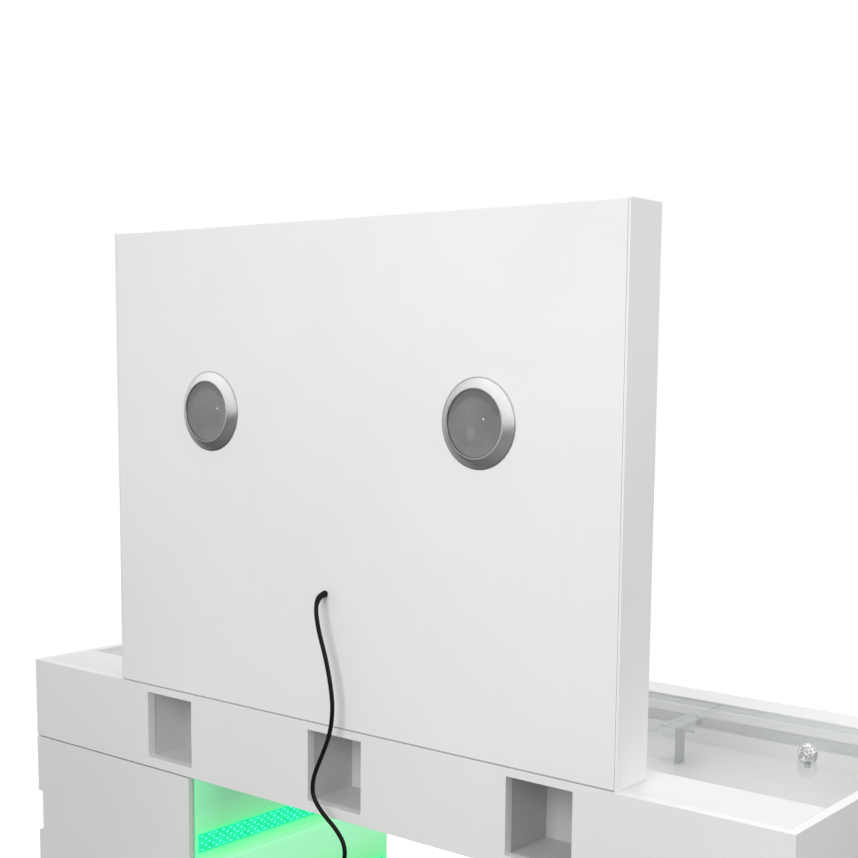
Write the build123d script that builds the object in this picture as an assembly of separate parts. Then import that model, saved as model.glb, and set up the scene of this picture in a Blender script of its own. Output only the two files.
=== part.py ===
"""Photo booth counter.

A long white box stands on two pedestals with a knee space between them.  An upright housing on its front
edge holds a flash lamp and a camera behind two round windows.  Behind the housing a glass-topped well shows
sample prints.  +Z is up, the front faces -Y, +X is to the right seen from the front, and the origin is on
the floor in the middle of the object.  Millimetres.
"""
from build123d import *

import os
from math import pi, radians, tan

# --- overall sizes ---------------------------------------------------------------------------------------
counter_length = 1500.0
counter_depth = 590.0
counter_height = 900.0
box_height = 141.0
housing_width = 1000.0
housing_height = 750.0
housing_depth = 75.0
side_board_rise = 2.0
pedestal_width = 418.0
pedestal_depth = 500.0

# --- board and sheet thicknesses -------------------------------------------------------------------------
board = 15.0
top_board_thickness = 10.0
front_panel_thickness = 12.0
rear_panel_thickness = 9.0
backing_thickness = 9.0
glass_thickness = 10.0
liner_wall = 2.0

# --- gaps ------------------------------------------------------------------------------------------------
seam = 0.6
door_gap = 2.5
carcass_gap = 2.0
moving_gap = 1.5
fit_clearance = 0.3
pin_clearance = 0.1

# --- print pockets in the box front ----------------------------------------------------------------------
pocket_width = 110.0
pocket_height = 112.0
pocket_depth = 100.0
pocket_pitch = 378.0
pocket_step = 1.0

# --- display well ----------------------------------------------------------------------------------------
top_strip_depth = 118.0
ledge_width = 20.0
ledge_drop = 12.0
rail_depth = 34.0
well_depth = 70.0
well_floor_thickness = 12.0
rear_rim_width = 65.0
rear_ledge_width = 10.0
groove_height = 20.0
groove_depth = 20.0
groove_drop = 25.0
light_bar_depth = 12.0
light_bar_gap = 45.0
pane_joint = 370.0
knob_diameter = 28.0
knob_height = 24.0
knob_stem_diameter = 10.0
knob_from_joint = 250.0
knob_from_front = 310.0
support_post = (6.0, 20.0)
support_plate = (62.0, 106.0, 3.0)
support_from_front = 381.0

# --- round windows in the housing ------------------------------------------------------------------------
window_height = 466.0
window_spacing = 536.0
bezel_flange = 6.3
bezel_proud = 11.0
bezel_rim = 1.5
bezel_lip_width = 2.5
bezel_lip_thickness = 2.5
lens_diameter = 99.0
lens_thickness = 4.0
lens_cover = 3.0
barrel_wall = 6.9
barrel_behind_panel = 2.0
can_wall = 2.0
can_depth = 44.0
can_fins = 7
fin_thickness = 1.6
fin_height = 7.0
fin_pitch = 12.0
fin_length = 56.0
clip_size = (12.0, 18.0, 1.5)
screw_from_side = 25.0

# --- camera ----------------------------------------------------------------------------------------------
camera_size = (114.0, 38.0, 62.0)
camera_from_front = 20.0
camera_lens_diameter = 44.0
camera_lens_reach = 15.0
pivot_diameter = 6.0
bracket_wall = 2.5
bracket_foot = 20.0
bracket_height = 30.0
bracket_past_pivot = 8.0
cheek_clearance = 2.0

# --- power unit, cable bush and mains lead ---------------------------------------------------------------
supply_size = (160.0, 38.0, 90.0)
supply_lug = (12.0, 30.0, 2.0)
cord_diameter = 6.6
bush_flange_width = 0.6
bush_flange = 1.5
bush_wall = 0.9
cord_exit_x = -17.0
cord_exit_height = 202.0
coil_radius = 37.5
coil_layers = 3
coil_centre_x = 128.0
coil_from_front = 80.0
tail_length = 52.0
plug_diameter = 37.0
plug_length = 38.0
plug_tail_length = 30.0
plug_tail_diameter = 10.5
plug_tail_root = 18.0
plug_shoulder = 8.0
plug_pin_diameter = 4.8
plug_pin_length = 19.0
plug_pin_spacing = 19.0

# --- pedestals -------------------------------------------------------------------------------------------
panel_pitch = 165.0
panels_per_pedestal = 4
lit_panel_thickness = 6.0
panel_inset = 4.0
strip_drop = 104.0
strip_height = 32.0
strip_inset = 3.0
strip_rear_inset = 11.0
strip_thickness = 3.0
strip_proud = 1.0
panel_bead = 2.0
plinth_setback = 30.0
foot_height = 22.0
foot_diameter = 38.0
foot_inset = 45.0
shelf_height = 430.0
shelf_setback = 30.0
grip_height = 75.0
grip_depth = 12.0
grip_drop = 105.0
hinge_pin_diameter = 8.0
hinge_pin_reach = 8.0
hinge_pin_hold = 12.0
hinge_edge_round = 7.0
catch_size = (45.0, 15.0, 12.0)
catch_web = 3.0
strike_size = (30.0, 1.2, 12.0)
strike_from_end = 90.0
strike_drop = 20.0

# --- equipment on the pedestal shelves -------------------------------------------------------------------
printer_size = (275.0, 340.0, 170.0)
printer_slot = (170.0, 60.0, 34.0)
printer_slot_rise = 55.0
printer_foot = (18.0, 30.0)
tray_size = (160.0, 55.0, 3.0)
tray_reach = 30.0
tray_lip_height = 14.0
computer_size = (95.0, 290.0, 250.0)
computer_front_thickness = 6.0
computer_front_margin = 4.0
computer_foot = (14.0, 15.0)
equipment_foot_height = 8.0
equipment_foot_from_end = 30.0
equipment_setback = 60.0

# --- derived places --------------------------------------------------------------------------------------
x_end = counter_length / 2
y_front = -(counter_depth - bezel_proud) / 2
y_rear = y_front + counter_depth
z_top = counter_height
z_box = z_top - box_height
z_base_top = z_box + board
z_ledge = z_top - ledge_drop
z_well = z_top - well_depth
y_well_front = y_front + top_strip_depth + ledge_width
y_rim = y_rear - rear_rim_width
y_well_rear = y_rim - rear_ledge_width
x_housing = housing_width / 2
z_housing_top = z_top + housing_height
z_window = z_top + window_height
x_window = window_spacing / 2
y_panel_back = y_front + front_panel_thickness
y_rear_panel = y_front + housing_depth - rear_panel_thickness
x_knee = x_end - pedestal_width
z_plinth = z_box - panels_per_pedestal * panel_pitch
z_bottom_board = z_plinth - board
y_carcass = y_front + board + carcass_gap
barrel_bore = lens_diameter + 2 * fit_clearance
barrel_diameter = barrel_bore + 2 * barrel_wall
bezel_diameter = barrel_diameter + 2 * bezel_flange
lens_view_diameter = lens_diameter - 2 * lens_cover
bezel_lip_diameter = lens_view_diameter + 2 * bezel_lip_width
can_diameter = lens_diameter
bush_shank_diameter = cord_diameter + 2 * bush_wall
bush_flange_diameter = bush_shank_diameter + 2 * bush_flange_width
y_pedestal_rear = y_front + pedestal_depth

nodes = {}


def block(x0, x1, y0, y1, z0, z1):
    """A square-edged solid between two corners."""
    size = Box(x1 - x0, y1 - y0, z1 - z0)
    return Pos((x0 + x1) / 2, (y0 + y1) / 2, (z0 + z1) / 2) * size


def rod_y(x, z, diameter, y0, y1):
    """A round rod along Y."""
    return Pos(x, (y0 + y1) / 2, z) * Rot(90, 0, 0) * Cylinder(diameter / 2, y1 - y0)


def rod_z(x, y, diameter, z0, z1):
    """A round rod along Z."""
    return Pos(x, y, (z0 + z1) / 2) * Cylinder(diameter / 2, z1 - z0)


def rod_x(y, z, diameter, x0, x1):
    """A round rod along X."""
    return Pos((x0 + x1) / 2, y, z) * Rot(0, 90, 0) * Cylinder(diameter / 2, x1 - x0)


def turned_y(x, z, points):
    """A turned piece about an axis along Y, from (radius, y) points."""
    outline = Polyline(*[(r, y) for r, y in points], close=True)
    face = make_face(outline)
    return Pos(x, 0, z) * revolve(face, Axis.Y)


def mirrored(shape):
    """The same piece on the other side of the middle."""
    return mirror(shape, Plane.YZ)


def pair(shape):
    """A piece and its mirror image, as two separate solids."""
    return Compound(children=[*shape.solids(), *mirrored(shape).solids()])


def group(shapes):
    """Several separate solids in one node."""
    return Compound(children=[solid for shape in shapes for solid in shape.solids()])


def eased(shape, radius=0.8):
    """A board with its long outer edges eased."""
    return fillet(shape.edges(), radius)


# --- counter box -----------------------------------------------------------------------------------------

def make_counter_box():
    """Front, ends, base, rear and top boards of the long box."""
    front = eased(block(-x_end, x_end, y_front, y_front + board, z_box, z_top))
    for x in (-pocket_pitch, 0, pocket_pitch):
        front -= pocket_space(x, y_front - 1, y_front + board + 1)
    nodes["box_front_board"] = front
    y_in, y_out = y_front + board, y_rear - board
    nodes["box_end_boards"] = pair(eased(block(x_end - board, x_end, y_in, y_out, z_box, z_top)))
    nodes["box_base_board"] = block(-x_end + board, x_end - board, y_in, y_out, z_box, z_base_top)
    nodes["box_rear_board"] = eased(block(-x_end, x_end, y_out, y_rear, z_box, z_top))
    y_strip = y_front + top_strip_depth
    z_strip = z_top - top_board_thickness
    nodes["top_board"] = block(-x_end + board, x_end - board, y_in, y_strip, z_strip, z_top)


def pocket_space(x, y0, y1):
    """The clear mouth of one print pocket."""
    z_high = z_top - top_board_thickness - liner_wall
    return block(x - pocket_width / 2, x + pocket_width / 2, y0, y1, z_high - pocket_height, z_high)


def make_pockets():
    """Three lined print pockets behind the front board."""
    z_high = z_top - top_board_thickness - liner_wall
    z_low = z_high - pocket_height
    y_in = y_front + board
    y_back = y_front + pocket_depth
    half = pocket_width / 2 + pocket_step
    for name, x in (("left", -pocket_pitch), ("centre", 0), ("right", pocket_pitch)):
        shell = block(x - half - liner_wall, x + half + liner_wall, y_in, y_back + liner_wall,
                      z_low - liner_wall, z_high + liner_wall)
        shell -= block(x - half, x + half, y_in - 1, y_back, z_low, z_high)
        nodes[f"pocket_liner_{name}"] = shell


# --- display well ----------------------------------------------------------------------------------------

def make_well():
    """Rails, floor, light bars and glass supports of the display well."""
    x_in = x_end - board
    y_strip = y_front + top_strip_depth
    y_rail = y_well_front - rail_depth
    z_strip = z_top - top_board_thickness
    rail = block(-x_in, x_in, y_rail, y_well_front, z_base_top, z_ledge)
    rail += block(-x_in, x_in, y_rail, y_strip, z_ledge, z_strip)
    nodes["well_front_rail"] = rail
    z_rail = z_well - well_floor_thickness
    rear = block(-x_in, x_in, y_well_rear, y_rear - board, z_rail, z_ledge)
    rear += block(-x_in, x_in, y_rim, y_rear - board, z_ledge, z_top)
    z_groove = z_top - groove_drop
    rear -= block(-x_in, x_in, y_well_rear - 1, y_well_rear + groove_depth,
                  z_groove - groove_height, z_groove)
    nodes["well_rear_rail"] = rear
    nodes["well_floor"] = block(-x_in, x_in, y_well_front, y_well_rear, z_rail, z_well)
    y_bar = y_well_rear + groove_depth
    bars = []
    for x0, x1 in bar_spans(x_in):
        bar = block(x0, x1, y_bar - light_bar_depth, y_bar, z_groove - groove_height, z_groove)
        bars.append(bar)
    nodes["well_light_bars"] = group(bars)
    nodes["glass_supports"] = pair(glass_support())


def bar_spans(x_in):
    """The start and end of each light bar, which stop short of the pane joints."""
    inner = pane_joint - light_bar_gap
    outer = pane_joint + light_bar_gap
    return ((-x_in, -outer), (-inner, inner), (outer, x_in))


def glass_support():
    """A flat post on the well floor with a triangular plate under the pane joint."""
    wide, deep = support_post
    leg_x, leg_y, thick = support_plate
    x = pane_joint
    y_near = y_front + support_from_front
    corners = [(x - leg_x / 2, y_near), (x + leg_x / 2, y_near), (x - leg_x / 2, y_near + leg_y)]
    plate = extrude(make_face(Polyline(*corners, close=True)), thick)
    z_plate = z_ledge - thick
    post = block(x - wide / 2, x + wide / 2, y_near, y_near + deep, z_well, z_plate)
    return Pos(0, 0, z_plate) * plate + post


def make_panes():
    """Three glass panes with a lift knob in each outer one."""
    y0 = y_front + top_strip_depth + moving_gap
    y1 = y_rim - moving_gap
    x_in = x_end - board - moving_gap
    half_gap = moving_gap / 2
    x_knob = pane_joint + knob_from_joint
    y_knob = y_front + knob_from_front
    centre = block(-pane_joint + half_gap, pane_joint - half_gap, y0, y1, z_ledge, z_ledge + glass_thickness)
    outer = block(pane_joint + half_gap, x_in, y0, y1, z_ledge, z_ledge + glass_thickness)
    outer -= rod_z(x_knob, y_knob, knob_stem_diameter, z_ledge - 1, z_top)
    nodes["glass_pane_centre"] = centre
    nodes["glass_pane_right"] = outer
    nodes["glass_pane_left"] = mirrored(outer)
    z_glass = z_ledge + glass_thickness
    r = knob_diameter / 2
    knob = rod_z(x_knob, y_knob, knob_stem_diameter - 2 * pin_clearance, z_ledge, z_glass)
    head = rod_z(x_knob, y_knob, knob_diameter, z_glass, z_glass + knob_height)
    head = fillet(head.edges().sort_by(Axis.Z)[-1], r * 0.6)
    head = fillet(head.edges().sort_by(Axis.Z)[0], r * 0.3)
    nodes["lift_knob_right"] = knob + head
    nodes["lift_knob_left"] = mirrored(knob + head)


# --- upright housing -------------------------------------------------------------------------------------

def make_housing():
    """Side, top, bottom, front and rear panels of the upright housing."""
    lip = board - front_panel_thickness
    z_roof = z_housing_top - board
    z_side = z_housing_top + side_board_rise
    side = block(x_housing - board, x_housing, y_front, y_front + housing_depth, z_top, z_side)
    side = eased(side)
    side -= block(x_housing - board - 1, x_housing - lip, y_front - 1, y_panel_back, z_top - 1, z_side + 1)
    nodes["housing_side_boards"] = pair(side)
    x_in = x_housing - board
    nodes["housing_top_board"] = block(-x_in, x_in, y_panel_back, y_rear_panel, z_roof, z_housing_top)
    nodes["housing_bottom_board"] = block(-x_in, x_in, y_panel_back, y_rear_panel, z_top, z_top + board)
    x_panel = x_housing - lip - seam
    front = block(-x_panel, x_panel, y_front, y_panel_back, z_top + seam, z_housing_top)
    for x in (-x_window, x_window):
        front -= rod_y(x, z_window, barrel_diameter + 2 * fit_clearance, y_front - 1, y_panel_back + 1)
    z_exit = z_top + cord_exit_height
    front -= rod_y(cord_exit_x, z_exit, bush_shank_diameter, y_front - 1, y_panel_back + 1)
    nodes["housing_front_panel"] = front
    y_back = y_front + housing_depth
    rear = block(-x_in, x_in, y_rear_panel, y_back, z_top, z_housing_top)
    vent_length, vent_height, vent_pitch, vent_rows = 90.0, 5.0, 14.0, 5
    for x in (-x_window, x_window):
        for row in range(vent_rows):
            z = z_window + (row - (vent_rows - 1) / 2) * vent_pitch
            slot = block(x - vent_length / 2, x + vent_length / 2, y_rear_panel - 1, y_back + 1,
                         z - vent_height / 2, z + vent_height / 2)
            rear -= slot
    screws = []
    screw_head, screw_shank, head_height = 9.0, 4.0, 2.2
    for x, z in rear_screw_places():
        rear -= rod_y(x, z, screw_shank, y_rear_panel - 1, y_back + 1)
        shank = rod_y(x, z, screw_shank, y_rear_panel, y_back)
        head = rod_y(x, z, screw_head, y_back, y_back + head_height)
        screws.append(shank + fillet(head.edges().sort_by(Axis.Y)[-1], 1.4))
    nodes["housing_rear_panel"] = rear
    nodes["rear_panel_screws"] = group(screws)


def rear_screw_places():
    """Screw places round the rear panel, into the top and bottom boards."""
    z_low = z_top + board / 2
    z_high = z_housing_top - board / 2
    x_far = x_housing - board - screw_from_side
    return [(x, z) for z in (z_low, z_high) for x in (-x_far, -x_far / 3, x_far / 3, x_far)]


def bezel(x):
    """A window ring with a bevelled face and a barrel that passes through the panel."""
    y_lip = y_front - bezel_proud
    y_barrel = y_panel_back + barrel_behind_panel
    r_rim = bezel_diameter / 2
    return turned_y(x, z_window, [
        (r_rim, y_front),
        (r_rim, y_front - bezel_rim),
        (bezel_lip_diameter / 2, y_lip),
        (lens_view_diameter / 2, y_lip),
        (lens_view_diameter / 2, y_lip + bezel_lip_thickness),
        (barrel_bore / 2, y_lip + bezel_lip_thickness),
        (barrel_bore / 2, y_barrel),
        (barrel_diameter / 2, y_barrel),
        (barrel_diameter / 2, y_front),
    ])


def make_windows():
    """Both bezels with their lenses and the clips that hold them."""
    y_lens = y_front - bezel_proud + bezel_lip_thickness
    clips = []
    wide, long, thick = clip_size
    r = barrel_diameter / 2 + fit_clearance
    for name, x in (("left", -x_window), ("right", x_window)):
        nodes[f"{name}_bezel"] = bezel(x)
        nodes[f"{name}_lens"] = rod_y(x, z_window, lens_diameter, y_lens, y_lens + lens_thickness)
        for side in (-1, 1):
            z0 = z_window + side * r
            z1 = z0 + side * long
            clips.append(block(x - wide / 2, x + wide / 2, y_panel_back, y_panel_back + thick,
                               min(z0, z1), max(z0, z1)))
    nodes["bezel_clips"] = group(clips)


def make_flash_lamp():
    """The flash lamp: can with cooling fins, reflector cone and lamp board."""
    y0 = y_front - bezel_proud + bezel_lip_thickness + lens_thickness
    y1 = y0 + can_depth
    r = can_diameter / 2
    can = turned_y(-x_window, z_window, [
        (0, y1), (r, y1), (r, y0), (r - can_wall, y0), (r - can_wall, y1 - can_wall), (0, y1 - can_wall)])
    for index in range(can_fins):
        x = -x_window + (index - (can_fins - 1) / 2) * fin_pitch
        can += block(x - fin_thickness / 2, x + fin_thickness / 2, y1, y1 + fin_height,
                     z_window - fin_length / 2, z_window + fin_length / 2)
    nodes["flash_lamp_can"] = can
    lamp_board_thickness, lamp_board_radius = 1.6, 24.0
    y_board = y1 - can_wall - lamp_board_thickness
    nodes["flash_lamp_board"] = rod_y(-x_window, z_window, 2 * lamp_board_radius, y_board, y1 - can_wall)
    sheet = 1.0
    r_big = r - can_wall - fit_clearance
    r_small = 18.0
    nodes["flash_reflector"] = turned_y(-x_window, z_window, [
        (r_small, y_board), (r_big, y0), (r_big - sheet, y0), (r_small - sheet, y_board)])


def camera_pivot():
    """The Y and Z of the camera's tilt axis, through the middle of its body."""
    return y_front + camera_from_front + camera_size[1] / 2, z_window


def make_camera():
    """The camera body and lens, and the bracket that it tilts in."""
    wide, deep, high = camera_size
    y0 = y_front + camera_from_front
    x = x_window
    y_axis, z_axis = camera_pivot()
    body = block(x - wide / 2, x + wide / 2, y0, y0 + deep, z_axis - high / 2, z_axis + high / 2)
    body = fillet(body.edges(), 3)
    x_cheek = wide / 2 + cheek_clearance
    pin = rod_x(y_axis, z_axis, pivot_diameter, x + wide / 2 - 1, x + x_cheek + bracket_wall + 1)
    body += pin
    body += rod_x(y_axis, z_axis, pivot_diameter, x - x_cheek - bracket_wall - 1, x - wide / 2 + 1)
    nodes["camera_body"] = body
    y_tip = y0 - camera_lens_reach
    lens_wall, glass_back = 3.0, 2.0
    r = camera_lens_diameter / 2
    lens = turned_y(x, z_axis, [
        (0, y0), (r, y0), (r, y_tip), (r - lens_wall, y_tip), (r - lens_wall, y_tip + glass_back),
        (0, y_tip + glass_back)])
    nodes["camera_lens"] = lens
    cheeks = []
    for side in (-1, 1):
        inner = x + side * x_cheek
        outer = inner + side * bracket_wall
        foot = outer + side * bracket_foot
        cheek = block(min(inner, outer), max(inner, outer), y_panel_back, y_axis + bracket_past_pivot,
                      z_axis - bracket_height / 2, z_axis + bracket_height / 2)
        cheek += block(min(outer, foot), max(outer, foot), y_panel_back, y_panel_back + bracket_wall,
                       z_axis - bracket_height / 2, z_axis + bracket_height / 2)
        cheek -= rod_x(y_axis, z_axis, pivot_diameter + 2 * pin_clearance, min(inner, outer) - 1,
                       max(inner, outer) + 1)
        cheeks.append(cheek)
    nodes["camera_brackets"] = group(cheeks)


# --- power unit and mains lead ---------------------------------------------------------------------------

def make_supply():
    """The power unit on the panel's back, and the rubber bush that the lead leaves through."""
    wide, deep, high = supply_size
    z_exit = z_top + cord_exit_height
    y0 = y_panel_back + barrel_behind_panel
    supply = block(cord_exit_x - wide / 2, cord_exit_x + wide / 2, y0, y0 + deep, z_exit - high / 2,
                   z_exit + high / 2)
    lug, lug_high, lug_thick = supply_lug
    z_low, z_high = z_exit - lug_high / 2, z_exit + lug_high / 2
    for side in (-1, 1):
        edge = cord_exit_x + side * wide / 2
        tip = edge + side * lug
        heel = edge - side * lug
        supply += block(min(edge, tip), max(edge, tip), y_panel_back, y0 + lug_thick, z_low, z_high)
        supply += block(min(edge, heel), max(edge, heel), y_panel_back, y0, z_low, z_high)
    nodes["power_unit"] = supply
    bush = rod_y(cord_exit_x, z_exit, bush_shank_diameter, y_front, y0)
    bush += rod_y(cord_exit_x, z_exit, bush_flange_diameter, y_front - bush_flange, y_front)
    nodes["cable_bush"] = bush


def coil_turns():
    """The radius and height of the lead's centre in each turn of the coil, from outside to top."""
    step = cord_diameter
    near, far = coil_radius - step / 2, coil_radius + step / 2
    low = step / 2
    return [(far, low), (near, low), (near, low + step), (far, low + step), (far, low + 2 * step)]


def coil_middle():
    """The X and Y of the coil's centre on the floor."""
    return coil_centre_x, y_front - coil_from_front


def cord_route():
    """Points of the lead from the bush to the coil."""
    z_exit = z_top + cord_exit_height
    r, z_low = coil_turns()[0]
    x, y = coil_middle()
    return [
        (cord_exit_x, y_front - bush_flange, z_exit),
        (-16.5, y_front - 11, z_exit - 1.5),
        (-14.5, y_front - 20, z_exit - 7.5),
        (-12, y_front - 25.5, z_exit - 17.5),
        (-9, y_front - 27.5, z_exit - 31),
        (-4, y_front - 27, z_exit - 54),
        (9, y_front - 26, z_exit - 92),
        (19, y_front - 26, z_exit - 132),
        (23, y_front - 26, z_exit - 166),
        (17, y_front - 26, z_exit - 205),
        (-3, y_front - 26, z_exit - 246),
        (-19, y_front - 26, z_exit - 279),
        (-19, y_front - 26, z_exit - 307),
        (3, y_front - 26, z_exit - 329),
        (30, y_front - 26, z_exit - 346),
        (50, y_front - 26, z_exit - 370),
        (44, y_front - 27, z_exit - 405),
        (40, y_front - 28, z_exit - 450),
        (24, y_front - 29, z_exit - 510),
        (15, y_front - 31, z_exit - 580),
        (24, y_front - 34, z_exit - 655),
        (42, y_front - 37, z_exit - 730),
        (48, y_front - 42, z_exit - 805),
        (38, y_front - 50, z_exit - 880),
        (26, y_front - 60, z_exit - 950),
        (22, y_front - 74, z_exit - 1010),
        (24, y_front - 91, z_exit - 1054),
        (32, y_front - 108, z_exit - 1082),
        (48, y_front - 119, z_low + 2),
        (72, y_front - 122, z_low),
        (98, y - r - 0.5, z_low),
        (x, y - r, z_low),
    ]


def corner_radii(points):
    """The arc at each corner: 0.45 of its shorter run over the tangent of half its turn."""
    radii = []
    for a, b, c in zip(points, points[1:], points[2:]):
        before = Vector(*b) - Vector(*a)
        after = Vector(*c) - Vector(*b)
        turn = radians(before.get_angle(after))
        radii.append(0.45 * min(before.length, after.length) / tan(turn / 2))
    return radii


def tube(points):
    """A round lead along straight runs and tangent arcs."""
    radii = corner_radii(points)
    path = FilletPolyline(*points, radius=radii)
    section = Plane(origin=path @ 0, z_dir=path % 0) * Circle(cord_diameter / 2)
    solid = sweep(section, path=path)
    expected = pi * cord_diameter ** 2 / 4 * path.length
    print("tube length", round(path.length, 1), "volume ratio", round(solid.volume / expected, 4))
    print("radii", [round(radius) for radius in radii])
    return solid


def make_cord():
    """The mains lead: hanging tube, coil on the floor, short tail and plug."""
    nodes["cord_tube"] = tube(cord_route())
    x, y = coil_middle()
    r_out = coil_radius + cord_diameter
    r_in = coil_radius - cord_diameter
    height = coil_layers * cord_diameter
    nodes["cord_coil"] = rod_z(x, y, 2 * r_out, 0, height) - rod_z(x, y, 2 * r_in, -1, height + 1)
    turns = coil_turns()
    print("coil length", round(len(turns) * 2 * pi * coil_radius, 1))
    r, z_high = turns[-1]
    y_plug = y - r - 1
    z_plug = plug_diameter / 2
    x_tail = x + tail_length
    third = tail_length / 3
    nodes["cord_tail"] = tube([
        (x, y - r, z_high),
        (x + third, y - r, z_high + 0.3),
        (x + 2 * third, y_plug, z_plug - 0.5),
        (x_tail, y_plug, z_plug),
    ])
    x_body = x_tail + plug_tail_length
    x_face = x_body + plug_length
    body = rod_x(y_plug, z_plug, plug_diameter, x_body, x_face)
    body = fillet(body.edges().sort_by(Axis.X)[0], plug_shoulder)
    root = plug_shoulder / 2
    sleeve = Cone(plug_tail_diameter / 2, plug_tail_root / 2, plug_tail_length + root)
    nodes["plug_body"] = body + Pos((x_tail + x_body + root) / 2, y_plug, z_plug) * Rot(0, 90, 0) * sleeve
    pins = []
    for side in (-1, 1):
        pin = rod_x(y_plug + side * plug_pin_spacing / 2, z_plug, plug_pin_diameter, x_face,
                    x_face + plug_pin_length)
        pins.append(fillet(pin.edges().sort_by(Axis.X)[-1], plug_pin_diameter / 3))
    nodes["plug_pins"] = group(pins)


# --- pedestals -------------------------------------------------------------------------------------------

def make_pedestals():
    """Both pedestal carcasses, built on the right and mirrored to the left."""
    x_in = x_knee + lit_panel_thickness
    y0, y1 = y_carcass, y_pedestal_rear
    nodes["pedestal_outer_sides"] = pair(eased(block(x_end - board, x_end, y0, y1, z_plinth, z_box)))
    nodes["pedestal_inner_sides"] = pair(block(x_in, x_in + board, y0, y1, z_plinth, z_box))
    x0, x1 = x_in + board, x_end - board
    nodes["pedestal_backs"] = pair(block(x0, x1, y1 - backing_thickness, y1, z_plinth, z_box))
    bottom = eased(block(x_knee, x_end, y_front, y1, z_bottom_board, z_plinth))
    x_pin, y_pin = door_pivot()
    socket = hinge_pin_diameter + 2 * pin_clearance
    bottom -= rod_z(x_pin, y_pin, socket, z_plinth - hinge_pin_reach - 1, z_plinth + 1)
    nodes["pedestal_bottoms"] = pair(bottom)
    sockets = rod_z(x_pin, y_pin, socket, z_box - 1, z_box + hinge_pin_reach + 1)
    nodes["box_front_board"] -= sockets + mirrored(sockets)
    nodes["pedestal_shelves"] = pair(block(x0, x1, y0 + shelf_setback, y1 - backing_thickness,
                                           shelf_height - board, shelf_height))
    outer = block(x_knee + board, x_end - plinth_setback, y_front + plinth_setback, y1 - plinth_setback,
                  foot_height, z_bottom_board)
    core = block(x_knee + 2 * board, x_end - plinth_setback - board, y_front + plinth_setback + board,
                 y1 - plinth_setback - board, foot_height - 1, z_bottom_board + 1)
    nodes["pedestal_plinths"] = pair(outer - core)
    make_feet()
    make_lit_panels()
    make_doors()
    make_catches()


def make_feet():
    """Levelling feet inside each plinth: a pad and a stem up to the bottom board."""
    feet = []
    stem_diameter, pad_thickness = 10.0, 9.0
    x0 = x_knee + board + foot_inset
    x1 = x_end - plinth_setback - foot_inset
    y0 = y_front + plinth_setback + foot_inset
    y1 = y_pedestal_rear - plinth_setback - foot_inset
    for x in (x0, x1):
        for y in (y0, y1):
            pad = rod_z(x, y, foot_diameter, 0, pad_thickness)
            pad = fillet(pad.edges().sort_by(Axis.Z)[-1], 2)
            feet.append(pad + rod_z(x, y, stem_diameter, pad_thickness - 1, z_bottom_board))
    nodes["levelling_feet"] = pair(group(feet))


def make_lit_panels():
    """Panels on the knee-space side of each pedestal, with a lamp strip let into each one."""
    panels = []
    strips = []
    y0 = y_carcass
    y1 = y_pedestal_rear - panel_inset
    for index in range(panels_per_pedestal):
        z1 = z_box - index * panel_pitch
        z0 = z1 - panel_pitch + seam
        panel = block(x_knee, x_knee + lit_panel_thickness, y0, y1, z0, z1)
        z_strip = z1 - strip_drop
        y_strip, y_strip_end = y0 + strip_inset, y1 - strip_rear_inset
        panel -= block(x_knee - 1, x_knee + strip_thickness, y_strip, y_strip_end,
                       z_strip - strip_height, z_strip)
        bead = block(x_knee - panel_bead, x_knee, y0, y1, z0, z0 + panel_bead)
        panels.append(panel + bead)
        strips.append(block(x_knee - strip_proud, x_knee + strip_thickness, y_strip, y_strip_end,
                            z_strip - strip_height, z_strip))
    nodes["lit_panels"] = pair(group(panels))
    nodes["lamp_strips"] = pair(group(strips))


def door_pivot():
    """The X and Y of the right door's pivot pins, inside its inner edge."""
    return x_knee + board / 2, y_front + board / 2


def make_doors():
    """Full overlay doors that turn on pins at their inner edge, with a grip cut in the outer edge."""
    z0 = z_plinth + door_gap
    z1 = z_box - door_gap
    door = block(x_knee, x_end, y_front, y_front + board, z0, z1)
    hinge_edge = door.edges().filter_by(Axis.Z).sort_by(lambda edge: edge.center().X - edge.center().Y)[0]
    door = fillet(hinge_edge, hinge_edge_round)
    z_grip = z_box - grip_drop
    door -= block(x_end - grip_depth, x_end + 1, y_front - 1, y_front + board + 1,
                  z_grip - grip_height, z_grip)
    x_pin, y_pin = door_pivot()
    pins = [
        rod_z(x_pin, y_pin, hinge_pin_diameter, z0 - hinge_pin_reach, z0 + hinge_pin_hold),
        rod_z(x_pin, y_pin, hinge_pin_diameter, z1 - hinge_pin_hold, z1 + hinge_pin_reach),
    ]
    for pin in pins:
        door -= pin
    wide, thick, high = strike_size
    x_strike = x_end - strike_from_end
    z_strike = z1 - strike_drop
    strike = block(x_strike - wide / 2, x_strike + wide / 2, y_front + board, y_front + board + thick,
                   z_strike - high, z_strike)
    nodes["right_door"] = door
    nodes["left_door"] = mirrored(door)
    fittings = group([*pins, strike])
    nodes["right_door_fittings"] = fittings
    nodes["left_door_fittings"] = group([mirrored(fittings)])


def make_catches():
    """Magnetic catches under the box, facing each door's strike plate."""
    wide, deep, high = catch_size
    x = x_end - strike_from_end
    y0 = y_front + board + strike_size[1] + fit_clearance
    z1 = z_box
    z_strike = z_box - door_gap - strike_drop
    catch = block(x - wide / 2, x + wide / 2, y0, y0 + deep, z_strike - high, z_strike)
    catch += block(x - wide / 2, x + wide / 2, y0 + deep - catch_web, y0 + deep, z_strike - 1, z1)
    nodes["magnetic_catches"] = pair(catch)


# --- equipment -------------------------------------------------------------------------------------------

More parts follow.
